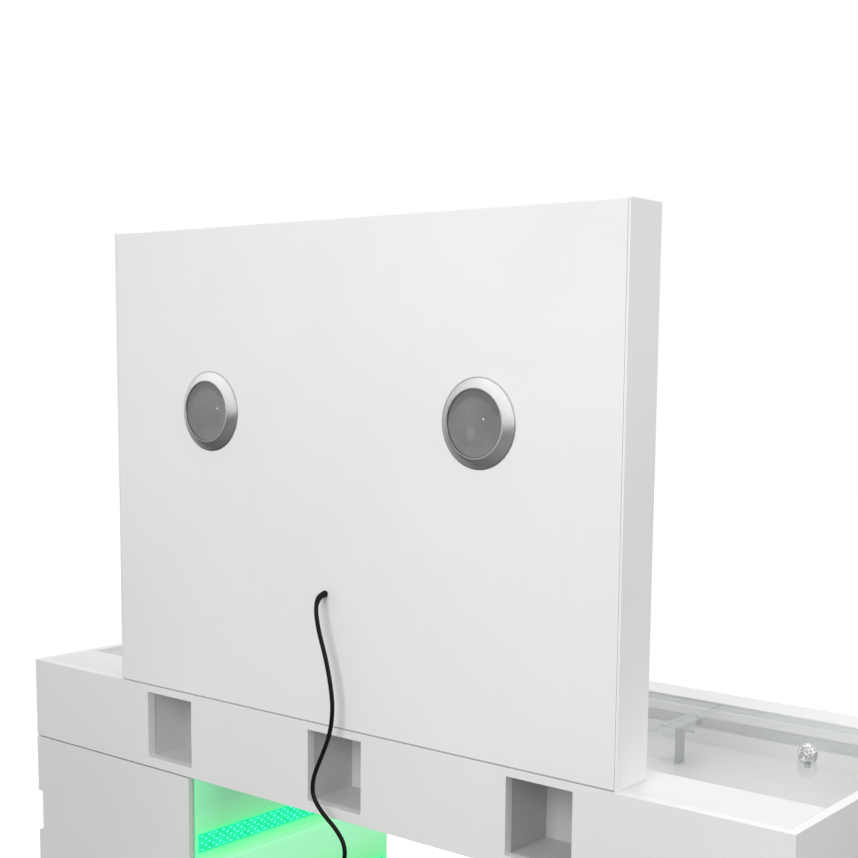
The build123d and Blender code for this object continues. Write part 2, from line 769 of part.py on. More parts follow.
def make_equipment():
    """A photo printer on the right shelf and the control computer on the left one."""
    wide, deep, high = printer_size
    x = (x_knee + x_end) / 2
    y0 = y_carcass + equipment_setback
    z0 = shelf_height + equipment_foot_height
    printer = fillet(block(x - wide / 2, x + wide / 2, y0, y0 + deep, z0, z0 + high).edges(), 6)
    slot_wide, slot_deep, slot_high = printer_slot
    z_slot = z0 + printer_slot_rise
    printer -= block(x - slot_wide / 2, x + slot_wide / 2, y0 - 1, y0 + slot_deep, z_slot, z_slot + slot_high)
    nodes["photo_printer"] = printer + equipment_feet(x, y0, printer_size, printer_foot)
    tray_wide, tray_deep, tray_thick = tray_size
    y_tray = y0 - tray_reach
    tray = block(x - tray_wide / 2, x + tray_wide / 2, y_tray, y0 + tray_deep, z_slot, z_slot + tray_thick)
    tray += block(x - tray_wide / 2, x + tray_wide / 2, y_tray, y_tray + tray_thick,
                  z_slot, z_slot + tray_lip_height)
    nodes["printer_tray"] = tray
    wide, deep, high = computer_size
    case = fillet(block(-x - wide / 2, -x + wide / 2, y0, y0 + deep, z0, z0 + high).edges(), 4)
    nodes["computer_case"] = case + equipment_feet(-x, y0, computer_size, computer_foot)
    margin = computer_front_margin
    front = block(-x - wide / 2 + margin, -x + wide / 2 - margin, y0 - computer_front_thickness, y0,
                  z0 + margin, z0 + high - margin)
    nodes["computer_front"] = fillet(front.edges().filter_by(Axis.Y), 3)


def equipment_feet(x, y0, size, foot):
    """Four round feet between the shelf and a machine whose front is at y0."""
    diameter, from_side = foot
    feet = []
    for side in (-1, 1):
        for y in (y0 + equipment_foot_from_end, y0 + size[1] - equipment_foot_from_end):
            x_foot = x + side * (size[0] / 2 - from_side)
            feet.append(rod_z(x_foot, y, diameter, shelf_height, shelf_height + equipment_foot_height + 2))
    return feet


def build():
    """Make every node and write it to its own file."""
    make_counter_box()
    make_pockets()
    make_well()
    make_panes()
    make_housing()
    make_windows()
    make_flash_lamp()
    make_camera()
    make_supply()
    make_cord()
    make_pedestals()
    make_equipment()
    os.makedirs("parts", exist_ok=True)
    for name, shape in nodes.items():
        export_step(shape, f"parts/{name}.step")
    print(len(nodes), "nodes")


build()
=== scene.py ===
"""Looks of the photo booth counter: finishes, turned and moulded pieces, mains lead, light and camera."""
import sys
import logging
import math
from collections.abc import Sequence
from dataclasses import dataclass, replace
from enum import Enum
from functools import cache, partialmethod
from typing import Any

import bmesh
import bpy
from mathutils import Matrix, Vector


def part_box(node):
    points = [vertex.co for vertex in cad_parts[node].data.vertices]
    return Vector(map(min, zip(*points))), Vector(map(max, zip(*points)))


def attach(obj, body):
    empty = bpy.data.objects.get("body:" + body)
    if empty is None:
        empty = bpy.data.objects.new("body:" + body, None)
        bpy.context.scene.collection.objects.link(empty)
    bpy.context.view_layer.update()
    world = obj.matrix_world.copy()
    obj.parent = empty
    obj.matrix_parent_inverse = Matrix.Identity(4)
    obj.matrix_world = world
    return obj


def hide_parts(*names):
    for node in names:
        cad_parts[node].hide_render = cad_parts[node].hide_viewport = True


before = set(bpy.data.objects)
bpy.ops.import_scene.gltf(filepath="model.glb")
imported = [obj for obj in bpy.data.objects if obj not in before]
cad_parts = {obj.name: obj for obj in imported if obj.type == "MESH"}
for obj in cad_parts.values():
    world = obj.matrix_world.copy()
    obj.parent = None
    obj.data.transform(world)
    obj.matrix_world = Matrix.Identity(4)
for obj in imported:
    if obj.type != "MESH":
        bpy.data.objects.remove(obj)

log = logging.getLogger("photo_booth")

Socket = bpy.types.NodeSocket
Piece = bpy.types.Object
Pair = tuple[float, float]
Point = tuple[float, float, float]
Colour = tuple[float, float, float, float]
Stops = tuple[tuple[float, Colour], ...]


def tone(red: int, green: int, blue: int) -> Colour:
    """A screen colour as linear light.

    Args:
        red, green, blue: Levels from 0 to 255.

    Returns:
        The linear colour with full alpha.
    """
    levels = [level / 255 for level in (red, green, blue)]
    linear = [v / 12.92 if v <= 0.04045 else ((v + 0.055) / 1.055) ** 2.4 for v in levels]
    return (linear[0], linear[1], linear[2], 1.0)


def grey(level: float) -> Colour:
    """A neutral linear colour."""
    return (level, level, level, 1.0)


def scaled(colour: Colour, share: float) -> Colour:
    """A colour made darker or lighter by one factor."""
    return (colour[0] * share, colour[1] * share, colour[2] * share, 1.0)


# --- shader building ---


class Value:
    """A number that varies over a surface; arithmetic on it adds Math nodes."""

    def __init__(self, nodes: "Nodes", socket: Socket) -> None:
        """Keep the nodes and the socket that the number comes from."""
        self.nodes = nodes
        self.socket = socket

    def math(self, operation: str, *others: Any, reflected: bool = False, clamp: bool = False) -> "Value":
        """Add one Math node.

        Args:
            operation: The node's operation.
            others: Its inputs beside this value, values or numbers.
            reflected: Whether they come before this value.
            clamp: Whether the result stays between 0 and 1.

        Returns:
            The result as a value.
        """
        terms = (*others, self) if reflected else (self, *others)
        made = self.nodes.node("ShaderNodeMath", {"operation": operation, "use_clamp": clamp},
                               dict(enumerate(terms)))
        return Value(self.nodes, made.outputs[0])

    __add__ = partialmethod(math, "ADD")
    __radd__ = partialmethod(math, "ADD", reflected=True)
    __sub__ = partialmethod(math, "SUBTRACT")
    __rsub__ = partialmethod(math, "SUBTRACT", reflected=True)
    __mul__ = partialmethod(math, "MULTIPLY")
    __rmul__ = partialmethod(math, "MULTIPLY", reflected=True)
    __truediv__ = partialmethod(math, "DIVIDE")
    __pow__ = partialmethod(math, "POWER")
    __gt__ = partialmethod(math, "GREATER_THAN")
    __lt__ = partialmethod(math, "LESS_THAN")
    __abs__ = partialmethod(math, "ABSOLUTE")
    wrapped = partialmethod(math, "FLOORED_MODULO")
    lesser = partialmethod(math, "MINIMUM")

    def rising(self, start: float, end: float) -> "Value":
        """A straight rise from 0 at start to 1 at end, level outside them."""
        return (self - start).math("MULTIPLY", 1 / (end - start), clamp=True)


def length(across: Value, up: Value) -> Value:
    """The length of a flat vector."""
    return (across * across + up * up) ** 0.5


class Nodes:
    """A node tree under construction."""

    def __init__(self, tree: bpy.types.NodeTree) -> None:
        """Start with that tree, emptied."""
        self.tree = tree
        self.tree.nodes.clear()

    def node(self, kind: str, settings: dict[str, Any] | None = None,
             inputs: dict[Any, Any] | None = None) -> bpy.types.Node:
        """Add a node.

        Args:
            kind: The node's type.
            settings: Properties set before its sockets; "stops" fills a ramp.
            inputs: Values or links by socket name or number.

        Returns:
            The node.
        """
        made = self.tree.nodes.new(kind)
        for name, setting in (settings or {}).items():
            if name == "stops":
                self.fill_ramp(made.color_ramp, setting)
            else:
                setattr(made, name, setting)
        for key, given in (inputs or {}).items():
            socket = made.inputs[key]
            if isinstance(given, Value):
                self.tree.links.new(given.socket, socket)
            elif isinstance(given, Socket):
                self.tree.links.new(given, socket)
            else:
                socket.default_value = given
        return made

    @staticmethod
    def fill_ramp(ramp: bpy.types.ColorRamp, stops: Stops) -> None:
        """Set a ramp's stops.

        Args:
            ramp: The ramp.
            stops: (place, colour) pairs in order.
        """
        while len(ramp.elements) < len(stops):
            ramp.elements.new(1.0)
        for element, (place, colour) in zip(ramp.elements, stops):
            element.position = place
            element.color = colour


class Shader(Nodes):
    """A material under construction."""

    def __init__(self, name: str) -> None:
        """Start an empty material of that name."""
        self.material = bpy.data.materials.new(name)
        self.material.use_nodes = True
        super().__init__(self.material.node_tree)

    def place(self) -> Socket:
        """The surface point in the object's own frame, in metres."""
        return self.node("ShaderNodeTexCoord").outputs["Object"]

    def axes(self) -> tuple[Value, ...]:
        """The three coordinates of the surface point."""
        split = self.node("ShaderNodeSeparateXYZ", None, {0: self.place()})
        return tuple(Value(self, split.outputs[axis]) for axis in range(3))

    def away(self, centre: Pair) -> tuple[Value, Value]:
        """How far the surface point is from a line along Y, across and up."""
        x, _, z = self.axes()
        return (x - centre[0], z - centre[1])

    def cells(self, scale: float, uneven: float) -> bpy.types.Node:
        """Cells of about that many a metre."""
        inputs = {"Vector": self.place(), "Scale": scale, "Randomness": uneven}
        return self.node("ShaderNodeTexVoronoi", {"feature": "F1"}, inputs)

    def joined(self, x: Any, y: Any, z: Any) -> Socket:
        """Three numbers as a point."""
        return self.node("ShaderNodeCombineXYZ", None, {0: x, 1: y, 2: z}).outputs[0]

    def stretched(self, scale: Point) -> Socket:
        """The surface point with each axis scaled."""
        return self.node("ShaderNodeMapping", None, {"Vector": self.place(), "Scale": scale}).outputs[0]

    def noise(self, scale: float, detail: float = 2.0, at: Socket | None = None) -> Value:
        """Soft noise of about that many features a metre.

        Args:
            scale: Features a metre.
            detail: Finer octaves.
            at: The point that it reads, or none for the surface point.

        Returns:
            Noise between 0 and 1.
        """
        inputs = {"Vector": at or self.place(), "Scale": scale, "Detail": detail, "Roughness": 0.55}
        return Value(self, self.node("ShaderNodeTexNoise", None, inputs).outputs["Fac"])

    def mix(self, share: Any, first: Any, second: Any) -> Socket:
        """A colour between two by a share."""
        return self.node("ShaderNodeMix", {"data_type": "RGBA"}, {0: share, 6: first, 7: second}).outputs[2]

    def blend(self, share: Any, first: Any, second: Any) -> Socket:
        """A surface between two by a share."""
        return self.node("ShaderNodeMixShader", None, {0: share, 1: first, 2: second}).outputs[0]

    def ramp(self, at: Value, stops: Stops) -> Socket:
        """A colour read from stops."""
        return self.node("ShaderNodeValToRGB", {"stops": stops}, {0: at}).outputs[0]

    def bump(self, height: Any, strength: float, distance: float) -> Socket:
        """A normal bent by a height.

        Args:
            height: The height, from 0 to 1.
            strength: How much of it shows.
            distance: The real depth of a height of 1, in metres.

        Returns:
            The normal.
        """
        inputs = {"Height": height, "Strength": strength, "Distance": distance}
        return self.node("ShaderNodeBump", None, inputs).outputs[0]

    def principled(self, **inputs: Any) -> Socket:
        """A Principled shader; underscores in names stand for spaces."""
        named = {key.replace("_", " "): given for key, given in inputs.items()}
        return self.node("ShaderNodeBsdfPrincipled", None, named).outputs[0]

    def done(self, surface: Socket) -> bpy.types.Material:
        """Connect the surface and give the material."""
        self.node("ShaderNodeOutputMaterial", None, {"Surface": surface})
        return self.material


# --- finishes ---


class Grain(Enum):
    """Which way the brush marks of a metal run."""

    ROUND = "round an axis along Y"
    UPRIGHT = "up and down"
    CAST = "no direction"


@dataclass(frozen=True)
class Finish:
    """A finish, which makes one material however many pieces wear it."""

    name: str

    @cache
    def material(self) -> bpy.types.Material:
        """Make the material, or give the one made before."""
        shader = Shader(self.name)
        return shader.done(self.surface(shader))

    def surface(self, shader: Shader) -> Socket:
        """Make the nodes of the surface, in each kind of finish its own.

        Args:
            shader: The material under construction.

        Returns:
            The surface's socket.
        """
        raise NotImplementedError


@dataclass(frozen=True)
class Laminate(Finish):
    """White melamine-faced board: satin, faintly pebbled, a little cloudy, with hairline edge bands that
    carry a painted highlight and, where asked, a painted shadow line at a seam.
    """

    colour: Colour = (0.80, 0.80, 0.797, 1.0)
    roughness: float = 0.36
    soiled_below: float = 0.0
    band_box: tuple[Point, Point] | None = None
    band_width: float = 0.0012
    seam_shadow_height: float | None = None

    def edge_band_and_highlight(self, shader: Shader) -> Value:
        """Find the outer edges of the board, where its edge bands meet its faces.

        Args:
            shader: The material under construction.

        Returns:
            1 along the edges, 0 elsewhere.
        """
        low, high = self.band_box
        near = []
        for axis, value in enumerate(shader.axes()):
            gap = abs(value - low[axis]).lesser(abs(value - high[axis]))
            near.append(gap < self.band_width)
        return (near[0] + near[1] + near[2]) > 1.5

    def surface(self, shader: Shader) -> Socket:
        """Lay cloud, scuffs and flecks over the board, then any dirt, edge bands with a painted highlight,
        and a painted shadow line at the seam.
        """
        cloud = shader.noise(2.2, 3.0)
        fleck = shader.noise(420.0, 2.0)
        scuff = shader.noise(1.0, 4.0, shader.stretched((18.0, 18.0, 2.0))).rising(0.60, 0.78)
        colour = shader.mix(cloud.rising(0.35, 0.70), scaled(self.colour, 0.955), self.colour)
        colour = shader.mix(scuff * 0.10, colour, scaled(self.colour, 0.72))
        colour = shader.mix(fleck.rising(0.62, 0.74) * 0.035, colour, scaled(self.colour, 0.6))
        if self.soiled_below:
            height = shader.axes()[2]
            dirt = (1 - height.rising(0.0, self.soiled_below)) * shader.noise(26.0, 4.0)
            colour = shader.mix(dirt * 0.5, colour, tone(150, 142, 130))
        rough = self.roughness + 0.10 * cloud + 0.06 * scuff
        if self.band_box:
            edge_band_highlight = self.edge_band_and_highlight(shader)
            # Painted highlight: the edges are painted lighter, as light catching the edge bands; the added
            # roughness is the bands' own.
            colour = shader.mix(edge_band_highlight * 0.22, colour, tone(250, 250, 248))
            rough = rough + 0.08 * edge_band_highlight
        # Painted shadow: a dark line is painted along the board's bottom edge, as shade in the gap beneath
        # it.
        if self.seam_shadow_height is not None:
            start = self.seam_shadow_height + self.band_width
            painted_seam_shadow = 1 - shader.axes()[2].rising(start, self.seam_shadow_height + 2 * self.band_width)
            colour = shader.mix(painted_seam_shadow * 0.62, colour, grey(0.10))
        height = fleck * 0.6 + shader.noise(1500.0, 1.0) * 0.4
        normal = shader.bump(height, 0.10, 0.0001)
        return shader.principled(Base_Color=colour, Roughness=rough, Normal=normal, IOR=1.5)


@dataclass(frozen=True)
class Moulded(Finish):
    """Moulded plastic or rubber with a fine spark-eroded grain and lighter rubbed patches."""

    colour: Colour
    roughness: float = 0.5
    grain: float = 900.0
    depth: float = 0.00008
    specular: float = 0.5

    def surface(self, shader: Shader) -> Socket:
        """Rub the grain lighter in patches."""
        grain = shader.noise(self.grain, 2.0)
        patch = shader.noise(14.0, 4.0)
        rubbed = patch.rising(0.52, 0.72)
        lighter = tuple(min(1.0, v * 1.25 + 0.004) for v in self.colour[:3]) + (1.0,)
        colour = shader.mix(rubbed * 0.7, self.colour, lighter)
        colour = shader.mix(grain.rising(0.55, 0.75) * 0.18, colour, scaled(self.colour, 0.75))
        rough = self.roughness + 0.12 * (grain - 0.5) - 0.08 * rubbed
        normal = shader.bump(grain, 0.35, self.depth)
        return shader.principled(
            Base_Color=colour, Roughness=rough, Normal=normal, Specular_IOR_Level=self.specular)


@dataclass(frozen=True)
class Metal(Finish):
    """Bare or plated metal with brush or casting marks, and on a ring painted shade on its lower side and a
    painted shadow line round its rim.
    """

    colour: Colour
    roughness: float = 0.25
    grain: Grain = Grain.CAST
    centre: Pair = (0.0, 0.0)
    shade_below: float = 0.0
    shade_way: Pair = (0.44, 0.90)
    rim_shadow_width: float = 0.0016

    def marks(self, shader: Shader) -> Value:
        """Make its brush or casting marks.

        Args:
            shader: The material under construction.

        Returns:
            Their height, from 0 to 1.
        """
        if self.grain is Grain.CAST:
            return shader.noise(700.0, 3.0)
        if self.grain is Grain.UPRIGHT:
            return shader.noise(1.0, 3.0, shader.stretched((2600.0, 2600.0, 40.0)))
        across, up = shader.away(self.centre)
        along = shader.axes()[1]
        turn = up.math("ARCTAN2", across)
        return shader.noise(1.0, 3.0, shader.joined(length(across, up) * 5200.0, turn * 5.0, along * 1200.0))

    def surface(self, shader: Shader) -> Socket:
        """Brush or cast the metal, smear it, and paint shade on the lower side of a ring and a shadow line
        round its rim.
        """
        marks = self.marks(shader)
        smear = shader.noise(30.0, 4.0)
        colour = shader.mix(marks.rising(0.30, 0.75), scaled(self.colour, 0.86), self.colour)
        colour = shader.mix(smear.rising(0.55, 0.80) * 0.25, colour, scaled(self.colour, 0.80))
        # Painted shade: the side of a ring away from the light is painted darker, along shade_way.
        if self.shade_below:
            across, up = shader.away(self.centre)
            height = across * self.shade_way[0] + up * self.shade_way[1]
            low = 1 - height.rising(-self.shade_below, self.shade_below * 0.9)
            colour = shader.mix(low ** 0.9 * 0.85, colour, scaled(self.colour, 0.15))
            # Painted shadow: a dark line is painted round the ring's outer edge, where it meets the panel.
            outer = length(across, up) > self.shade_below - self.rim_shadow_width
            colour = shader.mix(outer * 0.45, colour, scaled(self.colour, 0.30))
        rough = self.roughness + 0.14 * (marks - 0.5) + 0.10 * smear.rising(0.45, 0.75)
        normal = shader.bump(marks, 0.30, 0.00003)
        return shader.principled(Base_Color=colour, Metallic=1.0, Roughness=rough, Normal=normal)


@dataclass(frozen=True)
class PaneGlass(Finish):
    """Polished plate glass: clear faces with faint smears and green ground edges."""

    name: str = "plate_glass"
    edge: Colour = (0.66, 0.74, 0.71, 1.0)
    clear: Colour = (0.950, 0.958, 0.954, 1.0)

    def surface(self, shader: Shader) -> Socket:
        """See through the faces, with a mirror on their outside, and grind the edges."""
        smear = shader.noise(7.0, 4.0)
        rough = 0.02 + 0.05 * smear.rising(0.50, 0.80)
        inputs = {"Color": grey(0.96), "Roughness": rough}
        gloss = shader.node("ShaderNodeBsdfGlossy", None, inputs).outputs[0]
        clear = shader.node("ShaderNodeBsdfTransparent", None, {"Color": self.clear}).outputs[0]
        facing = Value(shader, shader.node("ShaderNodeLayerWeight").outputs["Facing"])
        geometry = shader.node("ShaderNodeNewGeometry")
        outside = 1 - Value(shader, geometry.outputs["Backfacing"])
        face = shader.blend((facing ** 5.0 * 0.80 + 0.04) * outside, clear, gloss)
        tint = shader.mix(smear, self.edge, scaled(self.edge, 0.75))
        ground = shader.principled(Base_Color=tint, Roughness=0.25, Alpha=0.34)
        normal = shader.node("ShaderNodeSeparateXYZ", None, {0: geometry.outputs["True Normal"]})
        side = 1 - abs(Value(shader, normal.outputs[2])).rising(0.3, 0.7)
        return shader.blend(side, face, ground)


@dataclass(frozen=True)
class CutCrystal(Finish):
    """Cut crystal of a lift knob, each facet painted lighter or darker on its own, as painted flashes and
    dark facets.
    """

    name: str = "cut_crystal"
    facet_flash_stops: Stops = (
        (0.0, grey(0.34)), (0.40, grey(0.50)), (0.72, grey(0.64)), (0.90, grey(0.90)))

    def surface(self, shader: Shader) -> Socket:
        """Paint each facet on its own, as a painted flash or a dark facet."""
        cells = shader.cells(330.0, 0.9)
        split = shader.node("ShaderNodeSeparateColor", None, {0: cells.outputs["Color"]})
        facet = Value(shader, split.outputs[0])
        # Painted highlights: facets get base colours from dark to near white at random, as flashes of light.
        return shader.principled(
            Base_Color=shader.ramp(facet, self.facet_flash_stops), Metallic=0.5, Roughness=0.12 + 0.12 * facet,
            Coat_Weight=0.5, Coat_Roughness=0.03, Normal=shader.bump(cells.outputs["Distance"], 0.6, 0.0012))


@dataclass(frozen=True)
class SmokedLens(Finish):
    """Smoked window disc: grey, glossy, with tiny moulded prisms carrying painted glints, a painted shadow at
    its rim, a painted glint dot and at times a painted reflection patch.
    """

    centre: Pair
    colour: Colour = (0.17, 0.17, 0.173, 1.0)
    rim: Pair = (0.0435, 0.0462)
    glint_dot: Pair = (0.0245, 0.005)
    glint_dot_radius: float = 0.0008
    reflection_patch: float = 0.0
    reflection_patch_at: Pair = (-0.007, -0.013)

    def surface(self, shader: Shader) -> Socket:
        """Cloud the disc, draw its prisms with painted glints, paint shadow at its rim, and paint the glint
        dot and any reflection patch.
        """
        across, up = shader.away(self.centre)
        prism = Value(shader, shader.cells(460.0, 0.65).outputs["Distance"])
        cloud = shader.noise(16.0, 3.0)
        colour = shader.mix(cloud.rising(0.35, 0.70), scaled(self.colour, 0.84), scaled(self.colour, 1.10))
        # Painted glints: the prisms' edges are painted lighter, as light catching them; their bump and
        # roughness are real.
        colour = shader.mix((1 - prism.rising(0.10, 0.24)) * 0.14, colour, grey(0.60))
        # Painted shadow: the disc is painted darker towards its rim, where the ring shades it.
        colour = shader.mix(length(across, up).rising(*self.rim) * 0.5, colour, grey(0.06))
        # Painted reflection: a lighter patch is painted low on the camera disc, as the lens behind it
        # reflecting.
        glint = length(across - self.reflection_patch_at[0], (up - self.reflection_patch_at[1]) * 0.62)
        colour = shader.mix((1 - glint.rising(0.004, 0.0085)) * self.reflection_patch, colour, grey(0.50))
        # Painted glint: a near-white dot is painted where a lamp would glint on the disc.
        painted_glint = length(across - self.glint_dot[0], up - self.glint_dot[1])
        colour = shader.mix(1 - painted_glint.rising(self.glint_dot_radius, 2 * self.glint_dot_radius), colour, grey(0.98))
        return shader.principled(
            Base_Color=colour, Roughness=0.16 + 0.20 * prism, Coat_Weight=0.6, Coat_Roughness=0.04,
            Normal=shader.bump(prism, 0.35, 0.0002))


@dataclass(frozen=True)
class GlowPanel(Finish):
    """Milky edge-lit panel, green, brightest next to the lamp strip let into it."""

    top: float
    pitch: float
    front: float
    stops: Stops = (
        (0.00, tone(170, 246, 196)),
        (0.30, tone(164, 242, 188)),
        (0.56, tone(134, 240, 162)),
        (0.625, tone(92, 255, 160)),
        (0.835, tone(92, 255, 165)),
        (0.90, tone(138, 255, 172)),
        (0.965, tone(160, 246, 188)),
        (1.00, tone(176, 255, 206)),
    )
    light: float = 0.74

    def surface(self, shader: Shader) -> Socket:
        """Light the panel from its strips, with a painted shadow under the counter."""
        _, y, z = shader.axes()
        down = (self.top - z).wrapped(self.pitch) / self.pitch
        glow = shader.ramp(down, self.stops)
        cloud = shader.noise(5.0, 3.0)
        # Painted shadow: the top of the first panel, under the counter's overhang, is painted dimmer.
        shaded = z.rising(self.top - 0.120, self.top - 0.055) * (0.75 + 0.25 * cloud)
        glow = shader.mix(shaded * 0.9, glow, tone(120, 178, 140))
        glow = shader.mix((1 - (y - self.front).rising(0.0, 0.06)) * 0.45, glow, tone(150, 255, 190))
        glow = shader.mix(cloud.rising(0.40, 0.75) * 0.22, glow, tone(160, 240, 190))
        body = shader.mix(0.62, glow, tone(60, 110, 80))
        fine = shader.noise(1100.0, 2.0)
        return shader.principled(
            Base_Color=body, Roughness=0.30 + 0.12 * fine, Emission_Color=glow, Emission_Strength=self.light,
            Normal=shader.bump(fine, 0.12, 0.00005))


@dataclass(frozen=True)
class GlowStrip(Finish):
    """Turquoise diffuser of a lamp strip, deeper in colour between its lamps."""

    deep: Colour = tone(0, 238, 150)
    pale: Colour = tone(52, 255, 205)
    light: float = 0.86
    pitch: float = 0.016

    def surface(self, shader: Shader) -> Socket:
        """Light the strip in ripples, one for each lamp."""
        wave = (shader.axes()[1] * (2 * math.pi / self.pitch)).math("SINE")
        cloud = shader.noise(60.0, 3.0)
        glow = shader.mix(cloud.rising(0.35, 0.70) * 0.6 + wave * 0.08, self.deep, self.pale)
        return shader.principled(
            Base_Color=scaled(self.deep, 0.25), Roughness=0.28 + 0.10 * cloud, Emission_Color=glow,
            Emission_Strength=self.light, Normal=shader.bump(cloud, 0.10, 0.0001))


@dataclass(frozen=True)
class LampDome(Finish):
    """Bright cyan dome over each lamp of a strip."""

    name: str = "lamp_dome"
    light: float = 0.92

    def surface(self, shader: Shader) -> Socket:
        """Light the dome unevenly."""
        cloud = shader.noise(240.0, 2.0)
        glow = shader.mix(cloud, tone(60, 255, 232), tone(130, 255, 250))
        return shader.principled(Base_Color=tone(120, 200, 190), Roughness=0.2 + 0.1 * cloud,
                                 Emission_Color=glow, Emission_Strength=self.light)


# --- workshop ---


class Workshop:
    """Modelling moves that several pieces share; their lengths are in metres."""

    smooth_below = math.radians(35.0)

    @staticmethod
    def placed(name: str, data: bpy.types.ID) -> Piece:
        """Put new data into the scene as an object."""
        made = bpy.data.objects.new(name, data)
        bpy.context.scene.collection.objects.link(made)
        return made

    @staticmethod
    def face_out() -> None:
        """Turn every face of the object in edit mode outward and leave edit mode."""
        bpy.ops.mesh.select_all(action="SELECT")
        bpy.ops.mesh.normals_make_consistent(inside=False)
        bpy.ops.object.mode_set(mode="OBJECT")

    @staticmethod
    def clear_selection() -> None:
        """Leave edit mode and deselect every object."""
        if bpy.context.mode != "OBJECT":
            bpy.ops.object.mode_set(mode="OBJECT")
        bpy.ops.object.select_all(action="DESELECT")

    @staticmethod
    def settled(name: str) -> Piece:
        """Bring the active object's place into its mesh.

        Args:
            name: The name that it gets.

        Returns:
            The object.
        """
        piece = bpy.context.view_layer.objects.active
        piece.name = name
        piece.data.name = name
        bpy.ops.object.select_all(action="DESELECT")
        piece.select_set(True)
        bpy.ops.object.transform_apply(location=True, rotation=True, scale=True)
        return piece

    @classmethod
    def turned(cls, name: str, origin: Point, axis: Point, profile: Sequence[Pair],
               segments: int = 96, closed: bool = False) -> Piece:
        """Turn a piece: a circle extruded and resized from station to station.

        Args:
            name: The piece's name.
            origin: A point on its axis.
            axis: The axis, one of the three frame axes.
            profile: (radius, distance along the axis) stations, in metres.
            segments: Facets round.
            closed: Whether the last station joins the first, as in a ring.

        Returns:
            The piece, with its place in its mesh.
        """
        cls.clear_selection()
        base, way = Vector(origin), Vector(axis)
        turn = way.to_track_quat("Z", "Y").to_euler()
        radius, along = profile[0]
        bpy.ops.mesh.primitive_circle_add(vertices=segments, radius=radius, fill_type="NOTHING",
                                          location=base + way * along, rotation=turn)
        bpy.ops.object.mode_set(mode="EDIT")
        bpy.ops.mesh.select_all(action="SELECT")
        for (r0, a0), (r1, a1) in zip(profile, profile[1:]):
            bpy.ops.mesh.extrude_region_move(TRANSFORM_OT_translate={"value": way * (a1 - a0)})
            share = r1 / r0
            scale = [1.0 if abs(part) > 0.5 else share for part in axis]
            bpy.ops.transform.resize(value=scale, center_override=base + way * a1)
        bpy.ops.mesh.select_all(action="SELECT")
        if closed:
            bpy.ops.mesh.remove_doubles(threshold=1e-6)
        else:
            bpy.ops.mesh.fill_holes(sides=0)
        cls.face_out()
        return cls.settled(name)

    @classmethod
    def block(cls, name: str, low: Point, high: Point) -> Piece:
        """Make a squared piece.

        Args:
            name: The piece's name.
            low, high: Its two far corners.

        Returns:
            The piece, with its place in its mesh.
        """
        cls.clear_selection()
        middle = [(a + b) / 2 for a, b in zip(low, high)]
        bpy.ops.mesh.primitive_cube_add(size=1.0, location=middle)
        bpy.context.object.scale = [b - a for a, b in zip(low, high)]
        return cls.settled(name)

    @classmethod
    def eased(cls, piece: Piece, width: float, segments: int = 2, angle: float = 40.0) -> None:
        """Round the sharp edges of a piece and smooth its faces.

        Args:
            piece: The piece.
            width: The rounding, in metres.
            segments: Steps in the rounding.
            angle: Edges that turn by less are left, in degrees.
        """
        bpy.context.view_layer.objects.active = piece
        bevel = piece.modifiers.new("ease", "BEVEL")
        bevel.width = width
        bevel.segments = segments
        bevel.limit_method = "ANGLE"
        bevel.angle_limit = math.radians(angle)
        bpy.ops.object.modifier_apply(modifier=bevel.name)
        bpy.ops.object.select_all(action="DESELECT")
        piece.select_set(True)
        bpy.ops.object.shade_smooth_by_angle(angle=cls.smooth_below)

    @staticmethod
    def choose_faces(piece: Piece, normal: Point, share: float = 0.9) -> None:
        """Enter edit mode with the faces that look one way selected.

        Args:
            piece: The piece.
            normal: The way that they look.
            share: The least of their normal that lies that way.
        """
        bpy.context.view_layer.objects.active = piece
        bpy.ops.object.mode_set(mode="EDIT")
        bpy.ops.mesh.select_mode(type="FACE")
        mesh = bmesh.from_edit_mesh(piece.data)
        way = Vector(normal)
        for face in mesh.faces:
            face.select = face.normal.dot(way) > share
        bmesh.update_edit_mesh(piece.data)

    @classmethod
    def copied(cls, name: str, pattern: Piece, moves: Sequence[Matrix]) -> Piece:
        """Repeat a piece at many places in one mesh.

        Args:
            name: The new piece's name.
            pattern: The piece to repeat; it is used up.
            moves: Where each copy goes.

        Returns:
            The new piece.
        """
        points = [vertex.co.copy() for vertex in pattern.data.vertices]
        faces = [tuple(polygon.vertices) for polygon in pattern.data.polygons]
        all_points: list[Vector] = []
        all_faces: list[tuple[int, ...]] = []
        for move in moves:
            start = len(all_points)
            flipped = move.determinant() < 0
            all_points.extend(move @ point for point in points)
            for face in faces:
                order = reversed(face) if flipped else face
                all_faces.append(tuple(start + index for index in order))
        mesh = bpy.data.meshes.new(name)
        mesh.from_pydata(all_points, [], all_faces)
        piece = cls.placed(name, mesh)
        bpy.data.objects.remove(pattern)
        for polygon in mesh.polygons:
            polygon.use_smooth = True
        return piece


def fitted(piece: Piece, slot: str, finish: Finish, *replaced: str, body: str = "counter") -> None:
    """Give a new piece its body and its finish, and hide the nodes it stands for.

    Args:
        piece: The piece.
        slot: Not used; the slot that it would take its finish from.
        finish: Its finish.
        replaced: CAD nodes that it stands for.
        body: The body that it moves with.
    """
    piece.data.materials.clear()
    piece.data.materials.append(finish.material())
    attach(piece, body)
    if replaced:
        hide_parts(*replaced)
    log.info("made %s (%s faces)", piece.name, len(getattr(piece.data, "polygons", ())))


def dress(finish: Finish, *names: str) -> None:
    """Put one finish on CAD nodes.

    Args:
        finish: The finish.
        names: The nodes.
    """
    for name in names:
        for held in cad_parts[name].material_slots:
            held.material = finish.material()
        log.info("dressed %s in %s", name, finish.name)


